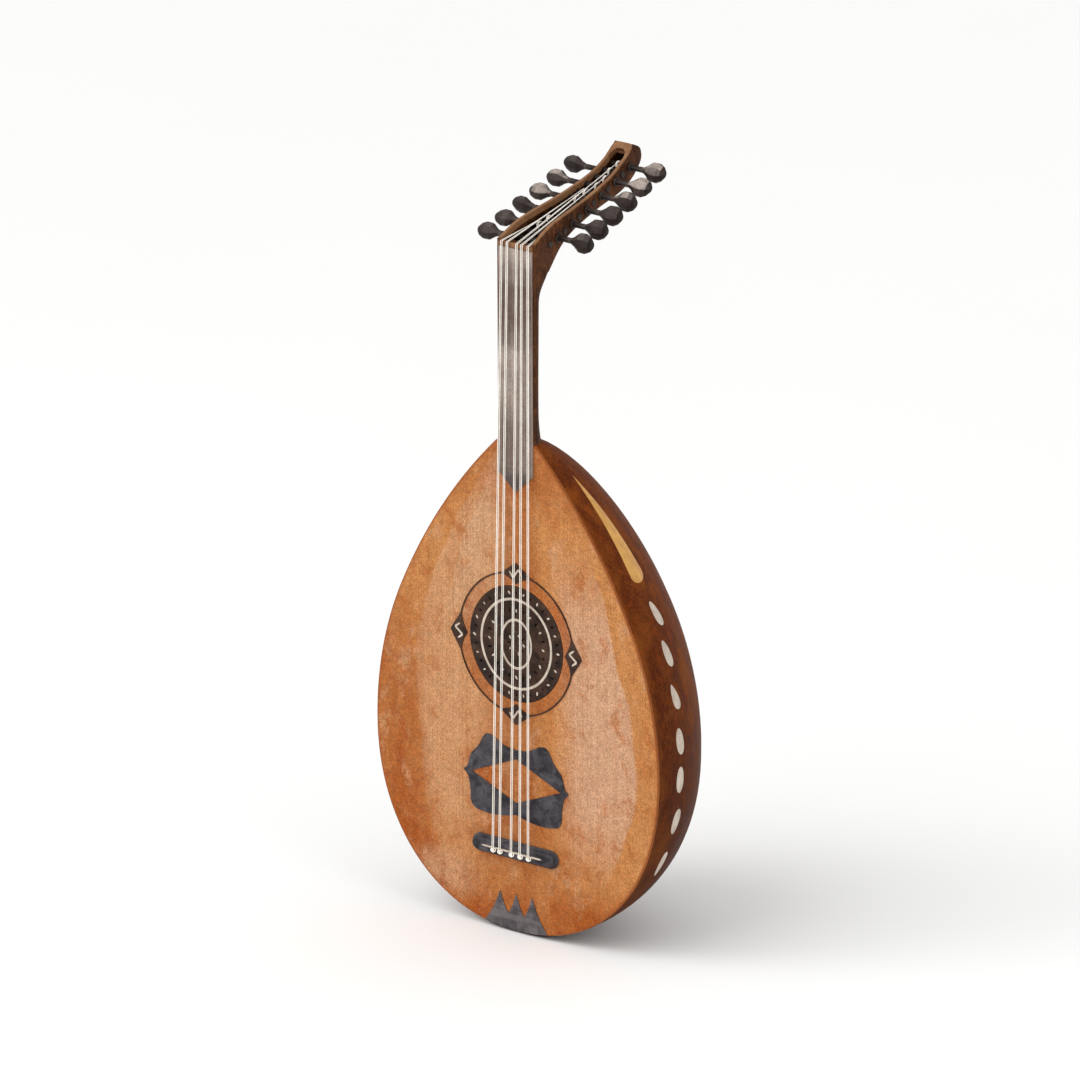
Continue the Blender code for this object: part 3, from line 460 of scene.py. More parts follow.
def plate(name, outlines, front, back, edge=0.15 * MM, place=None):
    """A flat plate filled between outlines of (across, up), its edges rounded.

    It faces -Y at a height above the tail, or stands as place, a function of (across, up, depth), says.
    """
    curve = bpy.data.curves.new(name, "CURVE")
    curve.dimensions = "2D"
    curve.fill_mode = "BOTH"
    curve.extrude = (back - front) / 2 - edge
    curve.bevel_depth = edge
    curve.bevel_resolution = 2
    curve.offset = -edge
    for outline in outlines:
        spline = curve.splines.new("POLY")
        spline.points.add(len(outline) - 1)
        for point, (across, up) in zip(spline.points, outline):
            point.co = (across, up, 0, 1)
        spline.use_cyclic_u = True
    holder = bpy.data.objects.new(name, curve)
    bpy.context.scene.collection.objects.link(holder)
    bpy.context.view_layer.update()
    mesh = bpy.data.meshes.new_from_object(holder.evaluated_get(bpy.context.evaluated_depsgraph_get()))
    bpy.data.objects.remove(holder)
    bpy.data.curves.remove(curve)
    shape = bmesh.new()
    shape.from_mesh(mesh)
    bmesh.ops.remove_doubles(shape, verts=shape.verts, dist=0.002 * MM)
    middle = (front + back) / 2
    for v in shape.verts:
        across, up, depth = v.co
        v.co = place(across, up, depth) if place else (across, middle - depth, TAIL + up)
    shape.to_mesh(mesh)
    shape.free()
    mesh.materials.clear()
    return mesh


def tube(path, radius, sides=8):
    """Closed loops round a line of points, for skin()."""
    loops = []
    side = None
    for i, point in enumerate(path):
        along = (path[min(i + 1, len(path) - 1)] - path[max(i - 1, 0)]).normalized()
        if side is None:
            side = along.orthogonal().normalized()
        side = (side - along * side.dot(along)).normalized()
        other = along.cross(side)
        turns = [math.tau * k / sides for k in range(sides)]
        loops.append([point + side * radius * math.cos(t) + other * radius * math.sin(t) for t in turns])
    return loops


def ring(centre, radius, thickness, axis="X", sides=8, steps=28):
    """A closed ring's loops round an axis, for skin(closed=True)."""
    loops = []
    for i in range(steps):
        turn = math.tau * i / steps
        if axis == "X":
            out, along = Vector((0, math.cos(turn), math.sin(turn))), Vector((1, 0, 0))
        else:
            out, along = Vector((math.cos(turn), 0, math.sin(turn))), Vector((0, 1, 0))
        loops.append([
            centre + out * (radius + thickness * math.cos(t)) + along * thickness * math.sin(t)
            for t in (math.tau * k / sides for k in range(sides))
        ])
    return loops


def smooth_line(points, steps=LINE_STEPS, unit=MM):
    """A Catmull-Rom line through points."""
    points = [Vector(p) * unit for p in points]
    ends = [2 * points[0] - points[1], *points, 2 * points[-1] - points[-2]]
    line = []
    for a, b, c, d in zip(ends, ends[1:], ends[2:], ends[3:]):
        for i in range(steps):
            t = i / steps
            line.append(0.5 * (2 * b + (c - a) * t + (2 * a - 5 * b + 4 * c - d) * t**2
                               + (3 * b - a - 3 * c + d) * t**3))
    return [*line, points[-1]]


def circle(radius, count, middle):
    turns = [math.tau * i / count for i in range(count)]
    return [(middle[0] + radius * math.cos(a), middle[1] + radius * math.sin(a)) for a in turns]


# ---------------------------------------------------------------- body

def flank(z):
    """Half the body's width at a height above the widest place."""
    if z <= WIDEST + HIP_RADIUS * math.sin(HIP_TURN):
        return HALF_WIDTH - HIP_RADIUS + math.sqrt(HIP_RADIUS**2 - (z - WIDEST) ** 2)
    reach = HIP_RADIUS - SHOULDER_RADIUS
    middle_x = HALF_WIDTH - HIP_RADIUS + reach * math.cos(HIP_TURN)
    middle_z = WIDEST + reach * math.sin(HIP_TURN)
    return middle_x + math.sqrt(SHOULDER_RADIUS**2 - (z - middle_z) ** 2)


def half_width(z):
    if z < WIDEST:
        return HALF_WIDTH * max(0.0, 1 - (1 - z / WIDEST) ** TAIL_POWER) ** (1 / TAIL_POWER)
    return flank(z)


def depth(z):
    """How far the bowl goes back from the soundboard."""
    if z < WIDEST:
        return DEPTH * max(0.0, 1 - (1 - z / WIDEST) ** TAIL_DEPTH_POWER) ** (1 / TAIL_DEPTH_POWER)
    return DEPTH * (1 - ((z - WIDEST) / FLANK_DEPTH_REACH) ** 2) ** FLANK_DEPTH_POWER


def body_profile(start_radius=0.0):
    """(half width, depth, height) up the body."""
    start = math.asin((start_radius / HALF_WIDTH) ** (TAIL_POWER / 2))
    power = 2 / TAIL_POWER
    rows = []
    for i in range(TAIL_STEPS):
        turn = start + (math.pi / 2 - start) * i / TAIL_STEPS
        z = WIDEST * (1 - math.cos(turn) ** power)
        rows.append((HALF_WIDTH * math.sin(turn) ** power, depth(z), z))
    for i in range(FLANK_STEPS + 1):
        z = WIDEST + (BODY_LENGTH - WIDEST) * i / FLANK_STEPS
        rows.append((flank(z), depth(z), z))
    return rows


def offset(line, inward):
    moved = []
    for i, (reach, z) in enumerate(line):
        before, after = line[max(i - 1, 0)], line[min(i + 1, len(line) - 1)]
        step = Vector((after[0] - before[0], after[1] - before[1])).normalized()
        moved.append((reach - step.y * inward, z + step.x * inward))
    return moved


def bowl_lines(profile, inward):
    """The bowl's lines up its side and its back, as (reach, height), moved in and cut level at the neck."""
    lines = []
    for k in (0, 1):
        line = offset([(row[k], row[2]) for row in profile], inward)
        (r0, z0), (r1, z1) = line[-2:]
        line[-1] = (r1 + (r1 - r0) * (BODY_LENGTH - z1) / (z1 - z0), BODY_LENGTH)
        lines.append(line)
    return lines


def bowl_point(side, back, turn):
    """A point of the bowl at a turn from its right edge, between the side's point and the back's."""
    share = math.sin(turn) ** 2
    up = TAIL + side[1] * (1 - share) + back[1] * share
    return Vector((side[0] * math.cos(turn), back[0] * math.sin(turn), up))


def bowl_strip(name, profile, first, last, first_gap, last_gap, outer, inner, steps):
    """A strip of the bowl between two meridians, from outer to inner below the surface."""
    loops = []
    for (s0, b0), (s1, b1) in zip(zip(*bowl_lines(profile, outer)), zip(*bowl_lines(profile, inner))):
        loop = []
        for side, back in ((s0, b0), (s1, b1)):
            narrow = min(side[0], back[0])
            start, end = first + first_gap / narrow, last - last_gap / narrow
            row = [bowl_point(side, back, start + (end - start) * i / steps) for i in range(steps + 1)]
            loop.append(row)
        loops.append([*loop[0], *reversed(loop[1])])
    return skin(name, loops)


def rib_edges():
    width = (math.pi - 2 * SIDE_RIB_ANGLE) / MIDDLE_RIBS
    return [0.0, *[SIDE_RIB_ANGLE + width * i for i in range(MIDDLE_RIBS + 1)], math.pi]


def bowl():
    """Thirteen ribs with a thin dark line let in between each two."""
    edges, profile = rib_edges(), body_profile(RIB_START_RADIUS)
    last = len(edges) - 2
    seam = SEAM_HALF + 0.02 * MM
    for i, (a, b) in enumerate(zip(edges, edges[1:])):
        name = f"rib_{i + 1:02d}"
        gaps = (0.05 * MM if i == 0 else seam, 0.05 * MM if i == last else seam)
        steps = 14 if i in (0, last) else 6
        strip = bowl_strip(f"{name}_strip", profile, a, b, *gaps, 0.0, RIB_THICKNESS, steps)
        piece(f"{name}_strip", strip, "rib", [name])
    seams = []
    for turn in edges[1:-1]:
        seams.append(bowl_strip("seam", profile, turn, turn, -SEAM_HALF, -SEAM_HALF, -SEAM_PROUD, 1 * MM, 2))
    piece("rib_seams", joined("rib_seams", seams), "seam")


def on_bowl(turn, z, lift):
    """A point on the bowl at a turn from its right edge, lifted off the surface."""
    step, step_turn = 0.5 * MM, 0.01

    def surface(t, height):
        return Vector((half_width(height) * math.cos(t), depth(height) * math.sin(t), TAIL + height))

    point = surface(turn, z)
    round_it = surface(turn + step_turn, z) - surface(turn - step_turn, z)
    up_it = surface(turn, z + step) - surface(turn, z - step)
    return point + round_it.cross(up_it).normalized() * lift


def bowl_inlay(middle_turn, z, half_length, half_width_at, lean, side, steps=18):
    """A slightly cushioned inlay let into the side rib, as wide as half_width_at says along its length."""
    loops = []
    across = (-1, -0.93, -0.7, -0.35, 0, 0.35, 0.7, 0.93, 1)
    for i in range(steps + 1):
        s = -math.cos(math.pi * i / steps)
        height = z + half_length * s
        half = max(half_width_at(s), 0.12 * MM)
        girth = half_width(height)
        middle = middle_turn + lean * s
        crown = 0.45 * MM * (1 - 0.55 * s * s)
        top = [on_bowl(middle + half * c / girth, height, 0.06 * MM + crown * (1 - c**4)) for c in across]
        base = [on_bowl(middle + half * c / girth, height, -0.5 * MM) for c in reversed(across)]
        loops.append([Vector((p.x * side, p.y, p.z)) for p in [*top, *base]])
    return skin("inlay", loops)


def drop_half_width(s):
    """Half the drop's width along it, from -1 at its rounded lower end to 1 at its point."""
    round_from = -0.84
    end = 1.0
    if s < round_from:
        end = max(0.0, 1 - ((round_from - s) / (1 + round_from)) ** 2)
    return DROP_HALF_WIDTH * (0.5 - 0.5 * s) ** 0.85 * end**0.5


def side_inlays():
    """Seven lozenges and a tapered drop along the outer rib on each side."""
    for side, word in ((1, "right"), (-1, "left")):
        made = []
        for z, turn, length, half, lean, narrow in LOZENGES:
            def width(s, half=half, narrow=narrow):
                return half * MM * max(0.0, 1 - abs(s) ** 2.2) ** 0.5 * (1 - narrow * s)
            made.append(bowl_inlay(math.radians(turn), z * MM, length * MM, width, math.radians(lean), side))
        piece(f"lozenges_{word}", joined(f"lozenges_{word}", made), "bone")
        drop = bowl_inlay(DROP_TURN, DROP_Z, DROP_HALF_LENGTH, drop_half_width, math.radians(0.9), side, 30)
        piece(f"amber_drop_{word}", drop, "amber")


def board_outline(inset):
    """The soundboard's outline as (x, height), anticlockwise from the tail, moved in along its normal."""
    half = [(w, z) for w, _, z in body_profile()]
    half += [(half[-1][0] * (1 - i / 6), BODY_LENGTH) for i in range(1, 6)]
    full = [*half, (0, BODY_LENGTH), *[(-x, z) for x, z in reversed(half) if x > 0.01 * MM]]
    moved = []
    for i, (x, z) in enumerate(full):
        (x0, z0), (x1, z1) = full[i - 1], full[(i + 1) % len(full)]
        step = Vector((x1 - x0, z1 - z0)).normalized()
        moved.append((x - step.y * inset, z + step.x * inset))
    return moved


def soundboard():
    """The board is a smooth ring of quads from the sound hole to its rounded outer edge."""
    outline = board_outline(BINDING + 0.04 * MM)
    back, soft = 0.0, 0.3 * MM
    hole = ROSETTE_RADIUS + 0.3 * MM
    rings = 26
    rows = []

    def row(share, y, grow=0.0):
        points = []
        for x, z in outline:
            out = Vector((x, z - ROSETTE_Z))
            reach = hole + grow + (out.length - hole - grow) * share
            spot = out.normalized() * reach
            points.append((spot.x, y, TAIL + ROSETTE_Z + spot.y))
        rows.append(points)

    row(0, back)
    row(0, BOARD_FRONT + soft)
    row(0, BOARD_FRONT, soft)
    for i in range(1, rings + 1):
        row(i / rings, BOARD_FRONT, soft)
    for i in range(rings, 0, -4):
        row(i / rings, back)
    mesh = skin("soundboard_plate", rows, closed=True)

    line = np.array(board_outline(0.0))
    places = np.array([(v.co.x, v.co.z - TAIL) for v in mesh.vertices])
    gap = np.linalg.norm(places[:, None, :] - line[None, :, :], axis=2).min(axis=1)
    across = [x / max(half_width(z), 20 * MM) for x, z in places]
    for name, values in (("edge", gap), ("across", across)):
        mesh.attributes.new(name, "FLOAT", "POINT").data.foreach_set("value", np.array(values, np.float32))
    piece("soundboard_plate", mesh, "spruce_top", ["soundboard"])

    loops = []
    outer, inner = board_outline(0.0), board_outline(BINDING)
    for (x0, z0), (x1, z1) in zip(outer, inner):
        section = []
        for share, y in ((0, 0), (0, BOARD_FRONT + 0.7 * MM), (0.12, BOARD_FRONT + 0.25 * MM),
                         (0.4, BOARD_FRONT), (1, BOARD_FRONT), (1, 0)):
            section.append((x0 + (x1 - x0) * share, y, TAIL + z0 + (z1 - z0) * share))
        loops.append(section)
    piece("board_binding", skin("board_binding", loops, closed=True), "binding")


def tail_cap():
    """A thin shell over the rib ends, rounded at its rim."""
    cap_radius, thickness, gap = 38 * MM, 1.2 * MM, 0.12 * MM
    start = math.asin((1 * MM / HALF_WIDTH) ** (TAIL_POWER / 2))
    end = math.asin((cap_radius / HALF_WIDTH) ** (TAIL_POWER / 2))
    steps = 14
    profile = []
    for i in range(steps + 1):
        turn = start + (end - start) * i / steps
        z = WIDEST * (1 - math.cos(turn) ** (2 / TAIL_POWER))
        profile.append((HALF_WIDTH * math.sin(turn) ** (2 / TAIL_POWER), depth(z), z))
    inner = [offset([(row[k], row[2]) for row in profile], -gap) for k in (0, 1)]
    outer = [offset([(row[k], row[2]) for row in profile[:-1]], -gap - thickness) for k in (0, 1)]
    middle = [offset([(row[k], row[2]) for row in profile], -gap - thickness / 2)[-1] for k in (0, 1)]
    sides, backs = [[*i, m, *reversed(o)] for i, m, o in zip(inner, middle, outer)]
    turns = [math.pi * i / 36 for i in range(37)]
    columns = [[bowl_point(side, back, t) for side, back in zip(sides, backs)] for t in turns]
    piece("tail_cap_shell", skin("tail_cap_shell", columns), "seam", ["tail_cap"])


# ---------------------------------------------------------------- soundboard furniture

def pierced(ring_radius, count, long, wide, shift=0.0):
    """Small pointed holes round a circle, each lying along its radius."""
    holes = []
    for k in range(count):
        turn = math.tau * (k + shift) / count
        out = Vector((math.cos(turn), math.sin(turn)))
        side = Vector((-out.y, out.x))
        hole = []
        for i in range(10):
            t = math.tau * i / 10
            off = wide * math.sin(t) * abs(math.sin(t)) ** 0.4
            spot = out * (ring_radius + long * math.cos(t)) + side * off
            hole.append((spot.x, ROSETTE_Z + spot.y))
        holes.append(hole)
    return holes


def dash(x, z, turn, half_long, half_wide):
    """A little raised seed of bone."""
    along, side = Vector((math.cos(turn), math.sin(turn))), Vector((-math.sin(turn), math.cos(turn)))
    loops = []
    base, top = BOARD_FRONT + 0.4 * MM, BOARD_FRONT - 0.35 * MM
    for share, y in ((1.0, base), (1.0, BOARD_FRONT - 0.1 * MM), (0.75, top + 0.08 * MM), (0.35, top)):
        loop = []
        for i in range(10):
            t = math.tau * i / 10
            spot = along * half_long * share * math.cos(t) + side * half_wide * share * math.sin(t)
            loop.append((x + spot.x, y, TAIL + z + spot.y))
        loops.append(loop)
    return skin("dash", loops)


def flat_ring(radius, half, low, high, narrow=1.0):
    """A slightly domed ring on the rosette. narrow is its width over its height."""
    loops = []
    for i in range(96):
        t = math.tau * i / 96
        loop = []
        for off, y in ((-half, low), (-half, high + 0.15 * MM), (-half * 0.5, high), (half * 0.5, high),
                       (half, high + 0.15 * MM), (half, low)):
            r = radius + off
            loop.append((r * narrow * math.cos(t), y, TAIL + ROSETTE_Z + r * math.sin(t)))
        loops.append(loop)
    return skin("ring", loops, closed=True)


def rosette():
    """A dark pierced disc with two bone rings and rows of bone seeds."""
    outlines = [circle(ROSETTE_RADIUS, 128, (0, ROSETTE_Z))]
    outlines += pierced(51.5 * MM, 18, 2.0 * MM, 0.8 * MM, 0.5)
    outlines += pierced(34.5 * MM, 12, 2.6 * MM, 0.9 * MM, 0.5)
    outlines += pierced(9.5 * MM, 5, 2.4 * MM, 0.9 * MM, 0.5)
    disc = plate("rosette_disc", outlines, BOARD_FRONT, 0.0, 0.25 * MM)
    piece("rosette_disc", disc, "rosette", ["rosette"])
    rings = [flat_ring(radius * MM, half * MM, BOARD_FRONT + 0.3 * MM, BOARD_FRONT - 0.4 * MM, narrow)
             for radius, half, narrow in ((45, 1.3, 0.97), (24.5, 1.3, 0.76))]
    piece("rosette_rings", joined("rosette_rings", rings), "bone")
    seeds = []
    for radius, count, long, wide in ((52, 18, 1.9, 1.0), (34, 12, 1.9, 1.0), (9.5, 5, 1.8, 0.9)):
        for k in range(count):
            turn = math.tau * k / count
            skew = turn + random.uniform(-0.7, 0.7)
            reach = (radius + random.uniform(-0.6, 0.6)) * MM
            size = random.uniform(0.8, 1.15)
            seeds.append(dash(reach * math.cos(turn), ROSETTE_Z + reach * math.sin(turn), skew,
                              long * size * MM, wide * size * MM))
    piece("rosette_seeds", joined("rosette_seeds", seeds), "bone")


def ring_sides():
    """The inner and outer outlines of the line round the rosette, with its four medallions."""
    reach = MEDALLION_HALF_LENGTH / RING_RADIUS
    sides = []
    for sign in (1, -1):
        side = []
        for i in range(360):
            turn = math.tau * i / 360
            off = abs((turn + math.pi / 4) % (math.pi / 2) - math.pi / 4)
            half = RING_HALF + MEDALLION_HALF_WIDTH * max(0.0, 1 - off / reach) ** 1.3
            radius = RING_RADIUS + sign * half
            side.append((radius * math.cos(turn), ROSETTE_Z + radius * math.sin(turn)))
        sides.append(side)
    return sides


def ribbon(name, line, half, low, high):
    """A flat ribbon along a line of (x, height), with its upper edges rounded."""
    loops = []
    soft = high + 0.08 * MM
    for i, point in enumerate(line):
        along = (line[min(i + 1, len(line) - 1)] - line[max(i - 1, 0)]).normalized()
        side = Vector((-along.y, along.x))
        taper = 0.55 if i in (0, len(line) - 1) else 1.0
        loop = []
        for share, y in ((-1, low), (-1, soft), (-0.6, high), (0.6, high), (1, soft), (1, low)):
            spot = point + side * half * share * taper
            loop.append((spot.x, y, TAIL + spot.y))
        loops.append(loop)
    return skin(name, loops)


def rosette_ring():
    """The dark line and its medallions, with a bone mark in each."""
    line = plate("rosette_line", ring_sides(), VENEER_FRONT, VENEER_BACK + VENEER_SINK, 0.12 * MM)
    piece("rosette_line", line, "rosette", ["rosette_ring"])
    motifs = []
    for quarter in range(4):
        turn = quarter * math.pi / 2
        out = Vector((math.cos(turn), math.sin(turn)))
        side = Vector((-out.y, out.x))
        middle = Vector((0, ROSETTE_Z)) + out * RING_RADIUS
        corners = [middle + side * a * MM + out * b * MM for a, b in ZIGZAG]
        line = []
        for a, b in zip(corners, corners[1:]):
            line += [a.lerp(b, t) for t in (0.06, 0.5, 0.94)]
        motifs.append(ribbon("motif", line, 1.0 * MM, VENEER_FRONT + 0.2 * MM, VENEER_FRONT - 0.25 * MM))
    piece("medallion_motifs", joined("medallion_motifs", motifs), "bone")


def guard_outline():
    """The guard's lobed outline, curved between its corners and pointed at its two ends."""
    tip = [i for i, corner in enumerate(GUARD_CORNERS) if corner in SHARP_CORNERS][0]
    upper = smooth_line(GUARD_CORNERS[:tip + 1], 5, 1.0)
    lower = smooth_line(GUARD_CORNERS[tip:], 5, 1.0)
    half = [(v.x * MM, GUARD_Z + v.y * MM) for v in [*upper, *lower[1:]]]
    return [*half, *[(-x, z) for x, z in reversed(half) if x > 0.01 * MM]]


def pickguard():
    """A lobed plate with a lozenge window."""
    window = [(x * MM, GUARD_Z + z * MM) for x, z in ((56, 0), (0, 23), (-56, 0), (0, -22))]
    outlines = [guard_outline(), window]
    guard = plate("pickguard_plate", outlines, VENEER_FRONT, VENEER_BACK + VENEER_SINK, 0.18 * MM)
    piece("pickguard_plate", guard, "slate", ["pickguard"])


def tail_spikes():
    """Three points of veneer that rise from the board's bottom edge, their sides slightly hollow."""
    height, valley, pitch, base, rise = 38 * MM, 16 * MM, 20 * MM, 39 * MM, 0.6 * MM

    def low(x):
        return WIDEST * (1 - (1 - (abs(x) / HALF_WIDTH) ** TAIL_POWER) ** (1 / TAIL_POWER)) + rise

    def side(start, end, bow):
        middle = (start + end) / 2 + Vector((bow * MM, -1.2 * MM))
        return smooth_line([start, middle, end], 6, 1.0)[:-1]

    tip, foot = Vector((pitch, height)), Vector((base, low(base)))
    dip, crown = Vector((pitch / 2, valley)), Vector((0, height))
    half = [(base * i / 12, low(base * i / 12)) for i in range(12)]
    half += [tuple(v) for v in [*side(foot, tip, -1.2), *side(tip, dip, 0.5), *side(dip, crown, -0.5)]]
    outline = [*half, (0, height), *[(-x, z) for x, z in reversed(half) if x > 0.01 * MM]]
    spikes = plate("tail_spike_veneer", [outline], VENEER_FRONT, VENEER_BACK + VENEER_SINK, 0.15 * MM)
    piece("tail_spike_veneer", spikes, "spike", ["tail_spikes"])


def stadium(half_long, half_wide, y, sides=14):
    radius, straight = half_wide, half_long - half_wide
    turns = [math.pi * i / sides - math.pi / 2 for i in range(sides + 1)]
    right = [(straight + radius * math.cos(t), radius * math.sin(t)) for t in turns]
    both = [*right, *[(-x, -z) for x, z in right]]
    return [(x, y, TAIL + BRIDGE_Z + z) for x, z in both]


def bridge():
    """A rounded bar with a moulded edge and a bone strip along its crest."""
    low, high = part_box("bridge")
    y0, y1 = high.y + 0.25 * MM, low.y
    steps = ((0.0, y0), (0.0, y0 - 2.2 * MM), (0.6, y0 - 3.0 * MM), (1.4, y0 - 3.4 * MM), (1.8, y0 - 4.4 * MM),
             (2.4, y0 - 5.6 * MM), (3.3, y0 - 6.6 * MM), (4.4, y1 + 0.1 * MM), (5.4, y1))
    loops = [stadium(53.5 * MM - inset * MM, 9 * MM - inset * MM, y) for inset, y in steps]
    piece("bridge_bar", skin("bridge_bar", loops), "slate", ["bridge"], sharp=50)

    low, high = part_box("bridge_saddle")
    loops = []
    for i in range(25):
        x = low.x + (high.x - low.x) * i / 24
        end = min(1.0, (1 - abs(2 * i / 24 - 1)) * 12 + 0.35)
        centre = Vector((x, high.y + 0.15 * MM, (low.z + high.z) / 2))
        loop = []
        for k in range(11):
            t = math.pi * k / 10
            loop.append(centre + Vector((0, -1.35 * MM * end * math.sin(t), 1.0 * MM * end * math.cos(t))))
        loops.append(loop)
    piece("saddle_strip", skin("saddle_strip", loops), "bone", ["bridge_saddle"])


def knots():
    """A double loop of gut round the saddle at the end of every course."""
    made = []
    for _, bridge_x in COURSES:
        middle = Vector((bridge_x * MM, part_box("bridge_saddle")[0].y, TAIL + BRIDGE_Z))
        for off in (-1.25, 1.25):
            centre = middle + Vector((off, -0.1, -2.0 + 0.25 * off)) * MM
            made.append(skin("loop", ring(centre, 1.65 * MM, 0.5 * MM, "Y", 8, 24), closed=True))
        tail = [middle + Vector(p) * MM
                for p in ((-2.9, 0.3, -1.0), (-1.2, -0.4, -3.6), (0.8, -0.5, -4.0), (2.9, 0.2, -1.4))]
        made.append(skin("bow", tube(smooth_line(tail, 5, 1.0), STRING_RADIUS)))
    piece("string_knots", joined("string_knots", made), "string")


# ---------------------------------------------------------------- neck

def neck_section(half, back, top, power=2.0, mitre=0.0, sides=26):
    """A loop with a flat front, softened corners and a curved back, of which a higher power is squarer."""
    soft = 0.8 * MM
    right = [(half - soft * a, BOARD_FRONT + soft * b) for a, b in ((1, 0), (0.3, 0.3), (0, 1))]
    loop = list(right)
    start = BOARD_FRONT + 2 * soft
    for i in range(sides + 1):
        turn = math.pi * i / sides
        across = math.copysign(abs(math.cos(turn)) ** (2 / power), math.cos(turn))
        loop.append((half * across, start + (back - start) * max(0.0, math.sin(turn)) ** (2 / power)))
    loop += [(-x, y) for x, y in reversed(right)]
    return [(x, y, TAIL + top - mitre * (y - BOARD_FRONT)) for x, y in loop]


def neck():
    """The neck swells into the heel below and squares up to the pegbox above."""
    joint = flank(BODY_LENGTH)
    gap = 0.3 * MM
    (rim_y, rim_z), (back_y, back_z) = RIM[0], BACK[0]
    mitre = (rim_z - back_z) / (back_y - rim_y)
    rows = [(0.0, depth(BODY_LENGTH) / MM), *NECK_ROWS]
    sections = []
    for spot in smooth_line([Vector(row) for row in rows], 6, 1.0):
        half = joint + (NECK_HALF_AT_NUT - joint) * spot.x
        sections.append(neck_section(half, spot.y * MM, BODY_LENGTH + gap + (NUT_Z - BODY_LENGTH) * spot.x))
    last_share, last_depth = rows[-1]
    start_top = BODY_LENGTH + gap + (NUT_Z - BODY_LENGTH) * last_share
    end_top = NUT_Z + rim_z * MM - gap
    steps, deepening, squaring = 12, 1.6, 2.6
    for i in range(1, steps + 1):
        t = i / steps
        back = last_depth + (back_y - last_depth) * t**deepening
        half = NECK_HALF_AT_NUT - (NECK_HALF_AT_NUT - joint) * (1 - last_share) * (1 - t)
        power = 2 + (NECK_END_POWER - 2) * t**squaring
        top = start_top + (end_top - start_top) * t
        sections.append(neck_section(half, back * MM, top, power, mitre * t))
    piece("neck_shaft", skin("neck_shaft", sections), "neck", ["neck"], sharp=50)


def fingerboard():
    """A thin board that narrows to the nut and ends in a shallow point on the soundboard."""
    low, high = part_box("fingerboard")
    half = [(0, 447), (7, 453.6), (14.3, 459.9), (21.5, 466)]
    half = [*[(x * MM, z * MM) for x, z in half], (20.5 * MM, high.z - TAIL)]
    outline = [*half, *[(-x, z) for x, z in reversed(half) if x > 0.01 * MM]]
    board = plate("fingerboard_plate", [outline], low.y, high.y + VENEER_SINK, 0.35 * MM)
    piece("fingerboard_plate", board, "fingerboard", ["fingerboard"])


def nut():
    """A rounded bar with a slight rise beside the slot of each string."""
    low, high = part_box("nut")
    slots = [x * MM + off for x, _ in COURSES for off in (-COURSE_HALF_GAP, COURSE_HALF_GAP)]
    loops = []
    stations = sorted({low.x + (high.x - low.x) * i / 60 for i in range(61)}
                      | {s + d * MM for s in slots for d in (-0.75, -0.45, 0, 0.45, 0.75)})
    middle_z, half_z = (low.z + high.z) / 2, (high.z - low.z) / 2
    for x in stations:
        near = min(abs(x - s) for s in slots)
        crest = low.y + 0.35 * MM * max(0.0, 1 - near / (0.7 * MM))
        loop = [(x, high.y + 0.3 * MM, middle_z + half_z)]
        for k in range(9):
            t = math.pi * k / 8
            y = crest + 1.5 * MM - 1.5 * MM * math.sin(t)
            loop.append((x, y, middle_z + half_z * math.cos(t)))
        loop.append((x, high.y + 0.3 * MM, middle_z - half_z))
        loops.append(loop)
    piece("nut_bar", skin("nut_bar", loops), "rim", ["nut"])


# ---------------------------------------------------------------- pegbox

rim_line, back_line = smooth_line(RIM), smooth_line(BACK)
TIP_FIRST, TIP_RIM_POINTS = 6 * LINE_STEPS, 9


def pegbox_half(y):
    return PEGBOX_HALF - PEGBOX_TAPER * y


def inset_line(line, distance):
    moved = []
    for i, point in enumerate(line):
        step = (line[min(i + 1, len(line) - 1)] - line[max(i - 1, 0)]).normalized()
        moved.append(point + Vector((step.y, -step.x)) * distance)
    return moved


def peg_axis(number):
    """(y, height above the nut) of a peg's axis."""
    share = number / (PEGS - 1)
    point = Vector(FIRST_PEG).lerp(Vector(LAST_PEG), share)
    return (point - Vector((0, PEG_SAG * 4 * share * (1 - share)))) * MM


def peg_side(number):
    return 1 if number % 2 else -1


def shaft_radius(number, x):
    half = pegbox_half(peg_axis(number).x)
    share = (x * peg_side(number) + half) / (2 * half)
    return SHAFT_TIP_RADIUS + (SHAFT_HEAD_RADIUS - SHAFT_TIP_RADIUS) * share


def cheek(word, side):
    """A side wall of the pegbox, drilled for every peg."""
    outline = [tuple(v) for v in [*rim_line, *reversed(back_line[:-1])]]
    holes = []
    for number in range(PEGS):
        y, z = peg_axis(number)
        x = side * (pegbox_half(y) - CHEEK / 2)
        holes.append(circle(shaft_radius(number, x) + 0.3 * MM, 20, (y, z)))
    lean = math.tan(side * math.atan(PEGBOX_TAPER))

    def place(across, up, deep):
        return (side * (PEGBOX_HALF - CHEEK / 2) - lean * across + deep, across, TAIL + NUT_Z + up)

    name = f"pegbox_cheek_{word}"
    mesh = plate(f"{name}_wall", [outline, *holes], 0.0, CHEEK, 0.5 * MM, place)
    piece(f"{name}_wall", mesh, "neck", [name])


